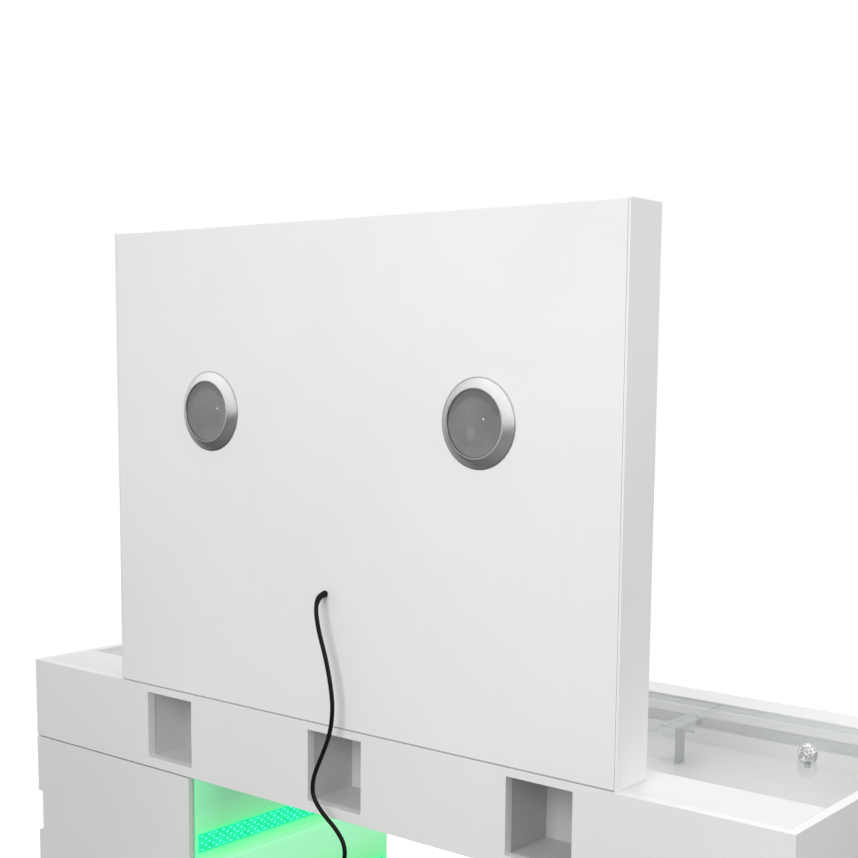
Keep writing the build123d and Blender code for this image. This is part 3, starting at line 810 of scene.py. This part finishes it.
def boxed(name: str) -> tuple[Point, Point, Point]:
    """A CAD node's low corner, high corner and middle as plain points."""
    low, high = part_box(name)
    return (tuple(low), tuple(high), tuple((a + b) / 2 for a, b in zip(low, high)))


# --- camera and mains lead ---


@dataclass
class View:
    """The camera, turned from the front to the right and tipped down."""

    place: Point = (1.4449, -1.8006, 1.4487)
    azimuth: float = 38.122
    elevation: float = 6.849
    roll: float = 0.703
    lens: float = 59.54
    film: float = 36.0
    shift: Pair = (-0.05, 0.12)

    def build(self) -> None:
        """Make the camera and use it."""
        turn, tip, roll = (math.radians(v) for v in (self.azimuth, self.elevation, self.roll))
        forward = Vector((-math.sin(turn) * math.cos(tip), math.cos(turn) * math.cos(tip), -math.sin(tip)))
        level = forward.cross(Vector((0, 0, 1))).normalized()
        upward = level.cross(forward)
        right = level * math.cos(roll) + upward * math.sin(roll)
        up = right.cross(forward)
        data = bpy.data.cameras.new("view")
        data.lens = self.lens
        data.sensor_width = self.film
        data.shift_x, data.shift_y = self.shift
        data.clip_start = 0.01
        camera = Workshop.placed("view", data)
        rows = Matrix((right, up, -forward)).transposed().to_4x4()
        camera.matrix_world = Matrix.Translation(self.place) @ rows
        bpy.context.scene.camera = camera
        log.info("camera placed")


@dataclass
class MainsLead:
    """The mains lead from the housing front to the floor, its coil, its strain relief and its plug."""

    diameter: float = 0.0066
    length: float = 2.489
    y_front: float = -0.2895
    exit_x: float = -0.017
    exit_z: float = 1.102
    flange: float = 0.0015
    coil_centre: Pair = (0.128, -0.3695)
    points_per_turn: int = 16
    relief_length: float = 0.026
    relief_root: float = 0.0052
    relief_tip: float = 0.0038
    relief_rings: int = 40
    relief_facets: int = 28
    relief_ribs: int = 18
    relief_rib: float = 0.00035
    relief_ribbed: Pair = (0.12, 0.9)
    turn_radii: Pair = (0.0408, 0.0342)
    turn_change: float = 0.70
    sleeve_tip: float = 0.0052
    sleeve_root: float = 0.0054
    sleeve_ribs: int = 5
    sleeve_pitch: float = 0.0048
    sleeve_growth: float = 0.0005

    def exit(self) -> Point:
        """The point where the lead leaves the bush."""
        return (self.exit_x, self.y_front - self.flange, self.exit_z)

    def hanging(self) -> list[Point]:
        """Route points from the bush to the start of the coil.

        Returns:
            The points; those of the front are tabled in mm as (x, way out, way down) from the exit.
        """
        low = self.diameter / 2
        near = self.coil_centre[1] - self.turns()[0][0]
        front = [
            (-16.5, 11, 1.5), (-14.5, 20, 7.5), (-12, 25.5, 17.5), (-9, 27.5, 31), (-4, 27, 54), (9, 26, 92),
            (19, 26, 132), (23, 26, 166), (17, 26, 205), (-3, 26, 246), (-19, 26, 279), (-19, 26, 307),
            (3, 26, 329), (30, 26, 346), (50, 26, 370), (44, 27, 405), (40, 28, 450), (24, 29, 510),
            (15, 31, 580), (24, 34, 655), (42, 37, 730), (48, 42, 805), (38, 50, 880), (26, 60, 950),
            (22, 74, 1010), (24, 91, 1054), (32, 108, 1082),
        ]
        points = [self.exit()]
        points += [(x / 1000, self.y_front - out / 1000, self.exit_z - drop / 1000) for x, out, drop in front]
        points += [(0.048, self.y_front - 0.119, low + 0.002), (0.072, self.y_front - 0.122, low),
                   (0.098, near - 0.0005, low), (self.coil_centre[0], near, low)]
        return points

    def turns(self) -> list[Pair]:
        """The radius and height of each turn of the coil."""
        low, step = self.diameter / 2, self.diameter
        wide, narrow = self.turn_radii
        return [(wide, low), (narrow, low), (narrow, low + step), (wide, low + step), (wide, low + 2 * step)]

    def coiled(self) -> list[Point]:
        """Route points round the coil.

        Returns:
            The points, counter-clockwise from its near side.
        """
        cx, cy = self.coil_centre
        turns = self.turns()
        points = []
        for number, (radius, height) in enumerate(turns):
            following = turns[min(number + 1, len(turns) - 1)]
            for step in range(1, self.points_per_turn + 1):
                share = step / self.points_per_turn
                late = max(0.0, (share - self.turn_change) / 0.30)
                r = radius + (following[0] - radius) * late
                z = height + (following[1] - height) * late
                angle = -math.pi / 2 + 2 * math.pi * share
                points.append((cx + r * math.cos(angle), cy + r * math.sin(angle), z))
        return points

    def tail(self) -> list[Point]:
        """Route points from the coil to the plug."""
        y = self.coil_centre[1] - self.turn_radii[0]
        return [(0.1453, y, 0.0168), (0.1627, y - 0.001, 0.0180), (0.1800, y - 0.001, 0.0185)]

    def build(self) -> None:
        """Make the lead, its strain relief and its plug."""
        data = bpy.data.curves.new("mains_lead", "CURVE")
        data.dimensions = "3D"
        data.resolution_u = 10
        spline = data.splines.new("NURBS")
        points = self.hanging() + self.coiled() + self.tail()
        spline.points.add(len(points) - 1)
        for held, point in zip(spline.points, points):
            held.co = (*point, 1.0)
        spline.order_u = 3
        spline.use_endpoint_u = True
        lead = Workshop.placed("mains_lead", data)
        route = self.route_points(lead)
        data.bevel_depth = self.diameter / 2
        data.bevel_resolution = 5
        data.use_fill_caps = True
        sheath = Moulded("lead_sheath", grey(0.0016), 0.40, 1400.0, 0.00004, 0.22)
        fitted(lead, "cord_sheath", sheath, "cord_tube", "cord_coil", "cord_tail")
        relief = self.strain_relief(route)
        rubber = Moulded("bush_rubber", grey(0.002), 0.5, 1200.0, 0.00006, 0.2)
        fitted(relief, "black_rubber", rubber)
        dress(rubber, "cable_bush")
        plug = self.plug()
        shell = Moulded("plug_shell", tone(24, 24, 26), 0.45)
        fitted(plug, "plug_plastic", shell, "plug_body")
        dress(Metal("plug_pin_nickel", tone(214, 208, 196), 0.22), "plug_pins")

    @staticmethod
    def route_points(lead: Piece) -> list[Vector]:
        """Read the lead's line before it gets its thickness.

        Args:
            lead: The lead.

        Returns:
            Points along it.
        """
        line = bpy.data.meshes.new_from_object(lead)
        points = [vertex.co.copy() for vertex in line.vertices]
        bpy.data.meshes.remove(line)
        return points

    def strain_relief(self, route: Sequence[Vector]) -> Piece:
        """A tapered, ribbed sleeve over the first stretch of the lead.

        Args:
            route: Points along the lead.

        Returns:
            The sleeve.
        """
        stations: list[tuple[Vector, Vector, float]] = []
        run = 0.0
        for before, here, after in zip(route, route[1:], route[2:]):
            run += (here - before).length
            if run > self.relief_length:
                break
            stations.append((here, (after - before).normalized(), run / self.relief_length))
        start = route[0]
        stations.insert(0, (start, (route[1] - start).normalized(), 0.0))
        fine: list[tuple[Vector, Vector, float]] = []
        for (p0, t0, s0), (p1, t1, s1) in zip(stations, stations[1:]):
            steps = max(1, round((s1 - s0) * self.relief_rings))
            for index in range(steps):
                share = index / steps
                fine.append((p0.lerp(p1, share), t0.lerp(t1, share).normalized(), s0 + (s1 - s0) * share))
        fine.append(stations[-1])
        around = self.relief_facets
        verts, faces = [], []
        for place, way, share in fine:
            ribbed = self.relief_ribbed[0] < share < self.relief_ribbed[1]
            rib = self.relief_rib if ribbed and int(share * self.relief_ribs) % 2 else 0.0
            radius = self.relief_root + (self.relief_tip - self.relief_root) * share - rib
            side = way.cross(Vector((1, 0, 0))).normalized()
            other = way.cross(side).normalized()
            for index in range(around):
                angle = 2 * math.pi * index / around
                verts.append(place + radius * (math.cos(angle) * side + math.sin(angle) * other))
        for ring in range(len(fine) - 1):
            for index in range(around):
                a, b = ring * around + index, ring * around + (index + 1) % around
                faces.append((a, b, b + around, a + around))
        faces.append(tuple(reversed(range(around))))
        last = (len(fine) - 1) * around
        faces.append(tuple(range(last, last + around)))
        mesh = bpy.data.meshes.new("lead_strain_relief")
        mesh.from_pydata(verts, [], faces)
        piece = Workshop.placed("lead_strain_relief", mesh)
        Workshop.clear_selection()
        bpy.context.view_layer.objects.active = piece
        piece.select_set(True)
        bpy.ops.object.mode_set(mode="EDIT")
        Workshop.face_out()
        bpy.ops.object.shade_smooth_by_angle(angle=Workshop.smooth_below)
        return piece

    def plug(self) -> Piece:
        """The moulded plug.

        Returns:
            The plug: ribbed sleeve, shoulder, waisted grip and face.
        """
        low, high, middle = boxed("plug_body")
        radius = (high[2] - low[2]) / 2
        profile = [(self.sleeve_tip, 0.0)]
        for rib in range(self.sleeve_ribs):
            at = 0.003 + rib * self.sleeve_pitch
            root = self.sleeve_root + rib * self.sleeve_growth
            profile += [(root, at), (root + 0.0010, at + 0.0006), (root + 0.0012, at + 0.0024),
                        (root + 0.0002, at + 0.0032)]
        length = high[0] - low[0]
        profile += [(0.0092, 0.0285), (0.0125, 0.0305), (radius - 0.0012, 0.0360), (radius, 0.0405),
                    (radius, 0.0430), (radius - 0.0022, 0.0460), (radius - 0.0022, 0.0560),
                    (radius, 0.0590), (radius, length - 0.0012), (radius - 0.0012, length),
                    (0.0165, length), (0.0163, length - 0.0006), (0.004, length - 0.0006)]
        plug = Workshop.turned("mains_plug", (low[0], *middle[1:]), (1, 0, 0), profile, 72)
        Workshop.eased(plug, 0.0003, 2, 30.0)
        return plug


# --- sub-assemblies ---


@dataclass
class CounterBox:
    """The long white box with its three print pockets."""

    white: Colour = (0.80, 0.80, 0.797, 1.0)
    # Grey of each pocket liner, a painted shade: darker where the pocket lies in deeper shade.
    pockets: tuple[tuple[str, float], ...] = (("left", 0.70), ("centre", 0.64), ("right", 0.54))

    def build(self) -> None:
        """Dress the boards and liners."""
        front = Laminate("box_front_laminate", self.white, band_box=boxed("box_front_board")[:2])
        dress(front, "box_front_board")
        dress(Laminate("box_laminate", self.white), "box_end_boards", "box_base_board", "box_rear_board")
        # Painted shade: the top board is the same laminate painted darker, to offset the stronger light on
        # top.
        dress(Laminate("top_laminate_painted_shade", scaled(self.white, 0.94)), "top_board")
        # Painted shade: the three liners are one board, painted darker pocket by pocket, the right one
        # darkest.
        for place, level in self.pockets:
            dress(Laminate(f"{place}_pocket_painted_shade_laminate", grey(level), 0.42), f"pocket_liner_{place}")


@dataclass
class DisplayWell:
    """The glass-topped well behind the housing."""

    knob_radius: float = 0.014
    knob_height: float = 0.024
    facets: int = 14

    def build(self) -> None:
        """Dress the well and make the lift knobs."""
        dress(Laminate("well_laminate", grey(0.80), 0.4), "well_front_rail", "well_rear_rail", "well_floor")
        dress(Moulded("bar_diffuser", tone(196, 199, 198), 0.4, 500.0, 0.0001), "well_light_bars")
        dress(Metal("satin_support", tone(176, 178, 180), 0.34, Grain.UPRIGHT), "glass_supports")
        dress(PaneGlass(), "glass_pane_left", "glass_pane_centre", "glass_pane_right")
        for side in ("left", "right"):
            fitted(self.knob(side), "clear_knob", CutCrystal(), f"lift_knob_{side}", body=f"{side}_pane")

    def knob(self, side: str) -> Piece:
        """A cut knob on one pane.

        Args:
            side: The side that its pane is on.

        Returns:
            The knob: stem through the pane, foot, waist and faceted head.
        """
        low, high, middle = boxed(f"lift_knob_{side}")
        r, top = self.knob_radius, high[2] - low[2]
        foot = top - self.knob_height
        profile = [(0.0048, 0.0), (0.0048, foot), (r * 0.78, foot), (r * 0.88, foot + 0.0012),
                   (r * 0.96, foot + 0.0040), (r * 0.995, foot + 0.0080), (r * 0.995, foot + 0.0125),
                   (r * 0.90, foot + 0.0172), (r * 0.68, foot + 0.0212), (r * 0.36, top)]
        foot_point = (*middle[:2], low[2])
        knob = Workshop.turned(f"lift_knob_{side}_cut", foot_point, (0, 0, 1), profile, self.facets)
        Workshop.eased(knob, 0.0003, 1, 12.0)
        return knob


@dataclass
class Housing:
    """The upright housing with its two round windows, flash lamp, camera and power unit."""

    white: Colour = (0.83, 0.83, 0.828, 1.0)
    rim: float = 0.0015
    proud: float = 0.011
    ring_radius: float = 0.0630
    barrel: float = 0.0567
    window_shades: tuple[tuple[str, Pair], ...] = (("left", (0.20, 0.98)), ("right", (0.60, 0.80)))
    # Where the camera window's painted glint dot sits, and how strong its painted reflection patch is.
    lens_glint_dot: Pair = (0.0148, 0.0065)
    lens_reflection_patch: float = 0.16

    def build(self) -> None:
        """Dress the housing and make the window rings and discs."""
        corners = boxed("housing_front_panel")[:2]
        front = Laminate("housing_front_laminate", self.white, band_box=corners, seam_shadow_height=corners[0][2])
        dress(front, "housing_front_panel")
        shell = Laminate("housing_laminate", self.white)
        dress(shell, "housing_side_boards", "housing_top_board", "housing_bottom_board")
        rear = Laminate("housing_rear_laminate", self.white, band_box=boxed("housing_rear_panel")[:2])
        dress(rear, "housing_rear_panel")
        spring = Metal("spring_steel_bright", tone(150, 152, 156), 0.28, Grain.UPRIGHT)
        dress(spring, "bezel_clips", "camera_brackets")
        for finish, name in (
            (Metal("zinc_plate", tone(186, 188, 186), 0.30), "rear_panel_screws"),
            (Metal("cast_lamp_can", tone(168, 170, 172), 0.42), "flash_lamp_can"),
            (Metal("reflector_polish", tone(236, 238, 240), 0.12), "flash_reflector"),
            (Moulded("lamp_board_mask", tone(222, 226, 222), 0.4, 1500.0, 0.00003), "flash_lamp_board"),
            (Moulded("camera_shell", tone(26, 26, 28), 0.46, 1100.0), "camera_body"),
            (Moulded("camera_lens_barrel", tone(12, 12, 14), 0.26, 1600.0), "camera_lens"),
            (Metal("supply_zintec", tone(172, 174, 176), 0.36, Grain.UPRIGHT), "power_unit"),
        ):
            dress(finish, name)
        for side, shade_way in self.window_shades:
            self.ring(side, shade_way)
            self.disc(side)

    def ring(self, side: str, shade_way: Pair) -> None:
        """Make one window's ring.

        Args:
            side: The window's side.
            shade_way: The way from its side painted dark to its side painted light, across and up.
        """
        (_, face, _), (_, back, _), (x, _, z) = boxed(f"{side}_bezel")
        panel = face + self.proud
        outer, barrel = self.ring_radius, self.barrel
        stations = [
            (barrel, back), (barrel, panel), (outer, panel), (outer, panel - 0.0008),
            (0.0626, panel - 0.0013), (0.0619, panel - 0.0013), (0.0616, panel - 0.0007),
            (0.0612, panel - 0.0007), (0.0610, panel - self.rim - 0.0008), (0.0500, face + 0.0006),
            (0.0490, face), (0.0470, face), (0.0465, face + 0.0005), (0.0465, face + 0.0025),
            (0.0498, face + 0.0025), (0.0498, back), (barrel, back),
        ]
        ring = Workshop.turned(f"{side}_window_ring", (x, 0, z), (0, 1, 0), stations, 128, closed=True)
        Workshop.eased(ring, 0.00025, 2, 25.0)
        steel = Metal(f"{side}_ring_steel", tone(252, 253, 254), 0.30, Grain.ROUND, (x, z), outer, shade_way)
        fitted(ring, "brushed_bezel", steel, f"{side}_bezel")

    def disc(self, side: str) -> None:
        """Make one window's disc; the camera's gets a painted reflection patch standing for the lens behind
        it.

        Args:
            side: The window's side.
        """
        x, _, z = boxed(f"{side}_bezel")[2]
        (_, front, _), (_, back, _), _ = boxed(f"{side}_lens")
        profile = [(0.0495, back), (0.0495, front), (0.0440, front), (0.0425, front + 0.0004),
                   (0.0300, front + 0.0002), (0.0150, front + 0.0001), (0.0010, front)]
        disc = Workshop.turned(f"{side}_window_disc", (x, 0, z), (0, 1, 0), profile, 96)
        Workshop.eased(disc, 0.0002)
        smoked = SmokedLens(f"{side}_smoked_disc", (x, z))
        if side == "right":
            smoked = replace(smoked, glint_dot=self.lens_glint_dot, reflection_patch=self.lens_reflection_patch)
        fitted(disc, "grey_lens", smoked, f"{side}_lens")


@dataclass
class Pedestals:
    """Both pedestals: carcasses, doors, edge-lit panels and lamp strips."""

    white: Colour = (0.78, 0.78, 0.778, 1.0)
    box_under: float = 0.759
    pitch: float = 0.165
    panels: int = 4
    strip_drop: float = 0.104
    strip_height: float = 0.032
    lamp_pitch: float = 0.016
    lamp_rows: int = 5
    row_pitch: float = 0.0058
    row_ends: Pair = (0.008, 0.006)
    strip_face: float = 0.331
    dome: Point = (0.0011, 0.0026, 0.0014)

    def build(self) -> None:
        """Dress the pedestals and make the lamp domes."""
        carcass = Laminate("pedestal_laminate", self.white, soiled_below=0.16)
        dress(carcass, "pedestal_outer_sides", "pedestal_inner_sides", "pedestal_bottoms", "pedestal_shelves")
        dress(Laminate("backing_laminate", scaled(self.white, 0.94), 0.5), "pedestal_backs")
        dress(Laminate("plinth_laminate", scaled(self.white, 0.9), 0.45, 0.09), "pedestal_plinths")
        for side in ("left", "right"):
            name = f"{side}_door"
            dress(Laminate(f"{name}_laminate", self.white, soiled_below=0.2, band_box=boxed(name)[:2]), name)
            steel = Metal(f"{side}_fittings_steel", tone(188, 190, 192), 0.26, Grain.UPRIGHT)
            dress(steel, f"{side}_door_fittings")
        dress(Moulded("catch_shell", tone(228, 228, 224)), "magnetic_catches")
        dress(Moulded("foot_nylon", tone(34, 34, 36)), "levelling_feet")
        front = boxed("lit_panels")[0][1]
        dress(GlowPanel("lit_panel_glow", self.box_under, self.pitch, front), "lit_panels")
        dress(GlowStrip("lamp_strip_glow"), "lamp_strips")
        fitted(self.lamp_domes(), "lamp_strip", LampDome())

    def lamp_domes(self) -> Piece:
        """Staggered rows of low domes on every strip's face.

        Returns:
            The domes as one piece.
        """
        low, high, _ = boxed("lamp_strips")
        Workshop.clear_selection()
        bpy.ops.mesh.primitive_uv_sphere_add(segments=8, ring_count=6, radius=1.0)
        pattern = bpy.context.object
        bpy.ops.object.mode_set(mode="EDIT")
        bpy.ops.mesh.select_all(action="SELECT")
        bpy.ops.mesh.bisect(plane_co=(0, 0, 0), plane_no=(1, 0, 0), clear_outer=True, use_fill=True)
        bpy.ops.object.mode_set(mode="OBJECT")
        moves = []
        start, end = low[1] + self.row_ends[0], high[1] - self.row_ends[1]
        for level in range(self.panels):
            middle = self.box_under - level * self.pitch - self.strip_drop - self.strip_height / 2
            for row in range(self.lamp_rows):
                z = middle + (row - (self.lamp_rows - 1) / 2) * self.row_pitch
                y = start + (row % 2) * self.lamp_pitch / 2
                while y < end:
                    for side in (-1, 1):
                        size = Matrix.Diagonal((self.dome[0] * side, *self.dome[1:], 1.0))
                        moves.append(Matrix.Translation((side * self.strip_face, y, z)) @ size)
                    y += self.lamp_pitch
        return Workshop.copied("lamp_strip_domes", pattern, moves)


@dataclass
class Equipment:
    """The photo printer and the control computer on the pedestal shelves."""

    panel_drop: float = 0.036
    panel_half: Pair = (0.085, 0.017)
    panel_depths: Pair = (0.0022, 0.0020)
    buttons: int = 4
    button_radius: float = 0.0045
    button_pitch: float = 0.018
    vents: int = 20
    vent_corner: Point = (-0.030, -0.0016, -0.0012)
    vent_start: float = 0.022
    vent_pitch: float = 0.0062

    def build(self) -> None:
        """Dress both machines and add their front details."""
        dress(Moulded("printer_shell", tone(206, 206, 202), 0.48, 700.0), "photo_printer")
        dress(Moulded("printer_tray_shell", tone(92, 94, 98), 0.45, 700.0), "printer_tray")
        dress(Metal("computer_case_paint", tone(64, 66, 70), 0.5), "computer_case")
        dress(Moulded("computer_front_shell", tone(36, 37, 40), 0.4), "computer_front")
        shell = Moulded("printer_panel_shell", tone(44, 46, 50), 0.3, 1200.0)
        fitted(self.printer_panel(), "computer_front", shell)
        caps = Moulded("printer_button_caps", tone(196, 200, 204), 0.35, 1200.0)
        fitted(self.printer_buttons(), "printer_plastic", caps)
        bars = Moulded("computer_vent_bars", tone(20, 21, 23), 0.45)
        fitted(self.computer_vents(), "computer_front", bars)

    def panel_centre(self) -> Point:
        """The middle of the control panel, on the printer's front."""
        low, high, middle = boxed("photo_printer")
        return (middle[0], low[1], high[2] - self.panel_drop)

    def printer_panel(self) -> Piece:
        """A framed control panel on the printer's front, above the paper mouth.

        Returns:
            The panel.
        """
        x, y, z = self.panel_centre()
        (wide, tall), (proud, sunk) = self.panel_half, self.panel_depths
        piece = Workshop.block("printer_control_panel", (x - wide, y - proud, z - tall),
                               (x + wide, y + sunk, z + tall))
        Workshop.choose_faces(piece, (0, -1, 0))
        bpy.ops.mesh.inset(thickness=0.0022, depth=-0.0007)
        bpy.ops.mesh.inset(thickness=0.0010, depth=0.0)
        bpy.ops.object.mode_set(mode="OBJECT")
        Workshop.eased(piece, 0.0009, 3)
        return piece

    def printer_buttons(self) -> Piece:
        """Round caps in a row on the control panel.

        Returns:
            The caps as one piece.
        """
        x, y, z = self.panel_centre()
        r = self.button_radius
        profile = [(r, 0.0), (r, -0.0010), (r * 0.9, -0.0015), (r * 0.55, -0.0012), (0.0004, -0.0010)]
        pattern = Workshop.turned("printer_button_pattern", (0, 0, 0), (0, 1, 0), profile, 24)
        steps = [self.button_pitch * (index - (self.buttons - 1) / 2) for index in range(self.buttons)]
        places = [Matrix.Translation((x + step, y - 0.0014, z)) for step in steps]
        return Workshop.copied("printer_buttons", pattern, places)

    def computer_vents(self) -> Piece:
        """Raised bars over the computer's air inlet, with a rounded nose each.

        Returns:
            The bars as one piece.
        """
        low, _, middle = boxed("computer_front")
        x, y, z = self.vent_corner
        pattern = Workshop.block("vent_bar_pattern", self.vent_corner, (-x, 0.0004, -z))
        Workshop.eased(pattern, 0.0008)
        heights = [low[2] + self.vent_start + self.vent_pitch * index for index in range(self.vents)]
        places = [Matrix.Translation((middle[0], low[1], height)) for height in heights]
        return Workshop.copied("computer_vents", pattern, places)


@dataclass(frozen=True)
class Lamp:
    """A square soft lamp, in metres and watts, hung at a place and pointed at a target."""

    name: str
    place: Point
    target: Point
    size: float
    power: float
    mirrored: bool = True

    def hang(self) -> None:
        """Make the lamp; one that isn't mirrored stays out of glossy surfaces."""
        data = bpy.data.lights.new(self.name, "AREA")
        data.size = self.size
        data.energy = self.power
        lamp = Workshop.placed(self.name, data)
        lamp.location = self.place
        lamp.visible_glossy = self.mirrored
        way = Vector(self.target) - Vector(self.place)
        lamp.rotation_euler = way.to_track_quat("-Z", "Y").to_euler()


@dataclass
class Studio:
    """A pale floor and soft light."""

    floor_size: float = 26.0
    floor_fade: Pair = (2.0, 8.0)
    ambient: float = 0.58
    lamps: tuple[Lamp, ...] = (
        Lamp("key", (0.6, -2.8, 2.15), (0.1, -0.3, 1.2), 1.6, 48.0, mirrored=False),
        Lamp("top", (0.0, 0.5, 3.4), (0.0, 0.0, 0.9), 2.0, 15.0),
        Lamp("side", (2.6, -0.2, 1.95), (0.5, -0.25, 1.30), 1.0, 16.0),
        Lamp("back", (-1.2, 3.0, 2.0), (0.0, 0.2, 0.9), 1.8, 34.0, mirrored=False),
    )

    def build(self) -> None:
        """Make the floor, the world and the lamps."""
        scene = bpy.context.scene
        scene.view_settings.view_transform = "Standard"
        Workshop.clear_selection()
        bpy.ops.mesh.primitive_plane_add(size=self.floor_size, location=(0, 0, 0))
        floor = Workshop.settled("studio_floor")
        floor.data.materials.append(self.floor_paint())
        scene.world = self.sky()
        for lamp in self.lamps:
            lamp.hang()
        log.info("studio lit")

    def floor_paint(self) -> bpy.types.Material:
        """Pale paint that looks nearly white but throws little light back up.

        Returns:
            The material.
        """
        shader = Shader("studio_floor_paint")
        cloud = shader.noise(0.6, 2.0)
        x, y, _ = shader.axes()
        far = length(x, y).rising(*self.floor_fade)
        colour = shader.mix(far, shader.mix(cloud, grey(0.52), grey(0.54)), grey(0.10))
        glow = shader.mix(far, grey(0.60), grey(1.0))
        pale = shader.principled(Base_Color=colour, Roughness=0.9, Emission_Color=glow, Emission_Strength=1.0)
        dull = shader.node("ShaderNodeBsdfDiffuse", None, {"Color": grey(0.30)}).outputs[0]
        seen = shader.node("ShaderNodeLightPath").outputs["Is Camera Ray"]
        return shader.done(shader.blend(seen, dull, pale))

    def sky(self) -> bpy.types.World:
        """White where the camera or a mirror sees it, softer as a light.

        Returns:
            The world.
        """
        world = bpy.data.worlds.new("studio_sky")
        world.use_nodes = True
        nodes = Nodes(world.node_tree)
        lit, seen = (
            nodes.node("ShaderNodeBackground", None, {"Color": grey(1.0), "Strength": strength}).outputs[0]
            for strength in (self.ambient, 1.0))
        path = nodes.node("ShaderNodeLightPath")
        either = Value(nodes, path.outputs["Is Camera Ray"]).math("MAXIMUM", path.outputs["Is Glossy Ray"])
        mixed = nodes.node("ShaderNodeMixShader", None, {0: either, 1: lit, 2: seen}).outputs[0]
        nodes.node("ShaderNodeOutputWorld", None, {"Surface": mixed})
        return world


def main() -> None:
    """Make the camera and the lead, then every sub-assembly."""
    logging.basicConfig(level=logging.INFO, format="%(message)s", stream=sys.stdout)
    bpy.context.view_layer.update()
    for assembly in (View, MainsLead, CounterBox, DisplayWell, Housing, Pedestals, Equipment, Studio):
        assembly().build()
        log.info("built %s", assembly.__name__)


if __name__ == "__main__":
    main()
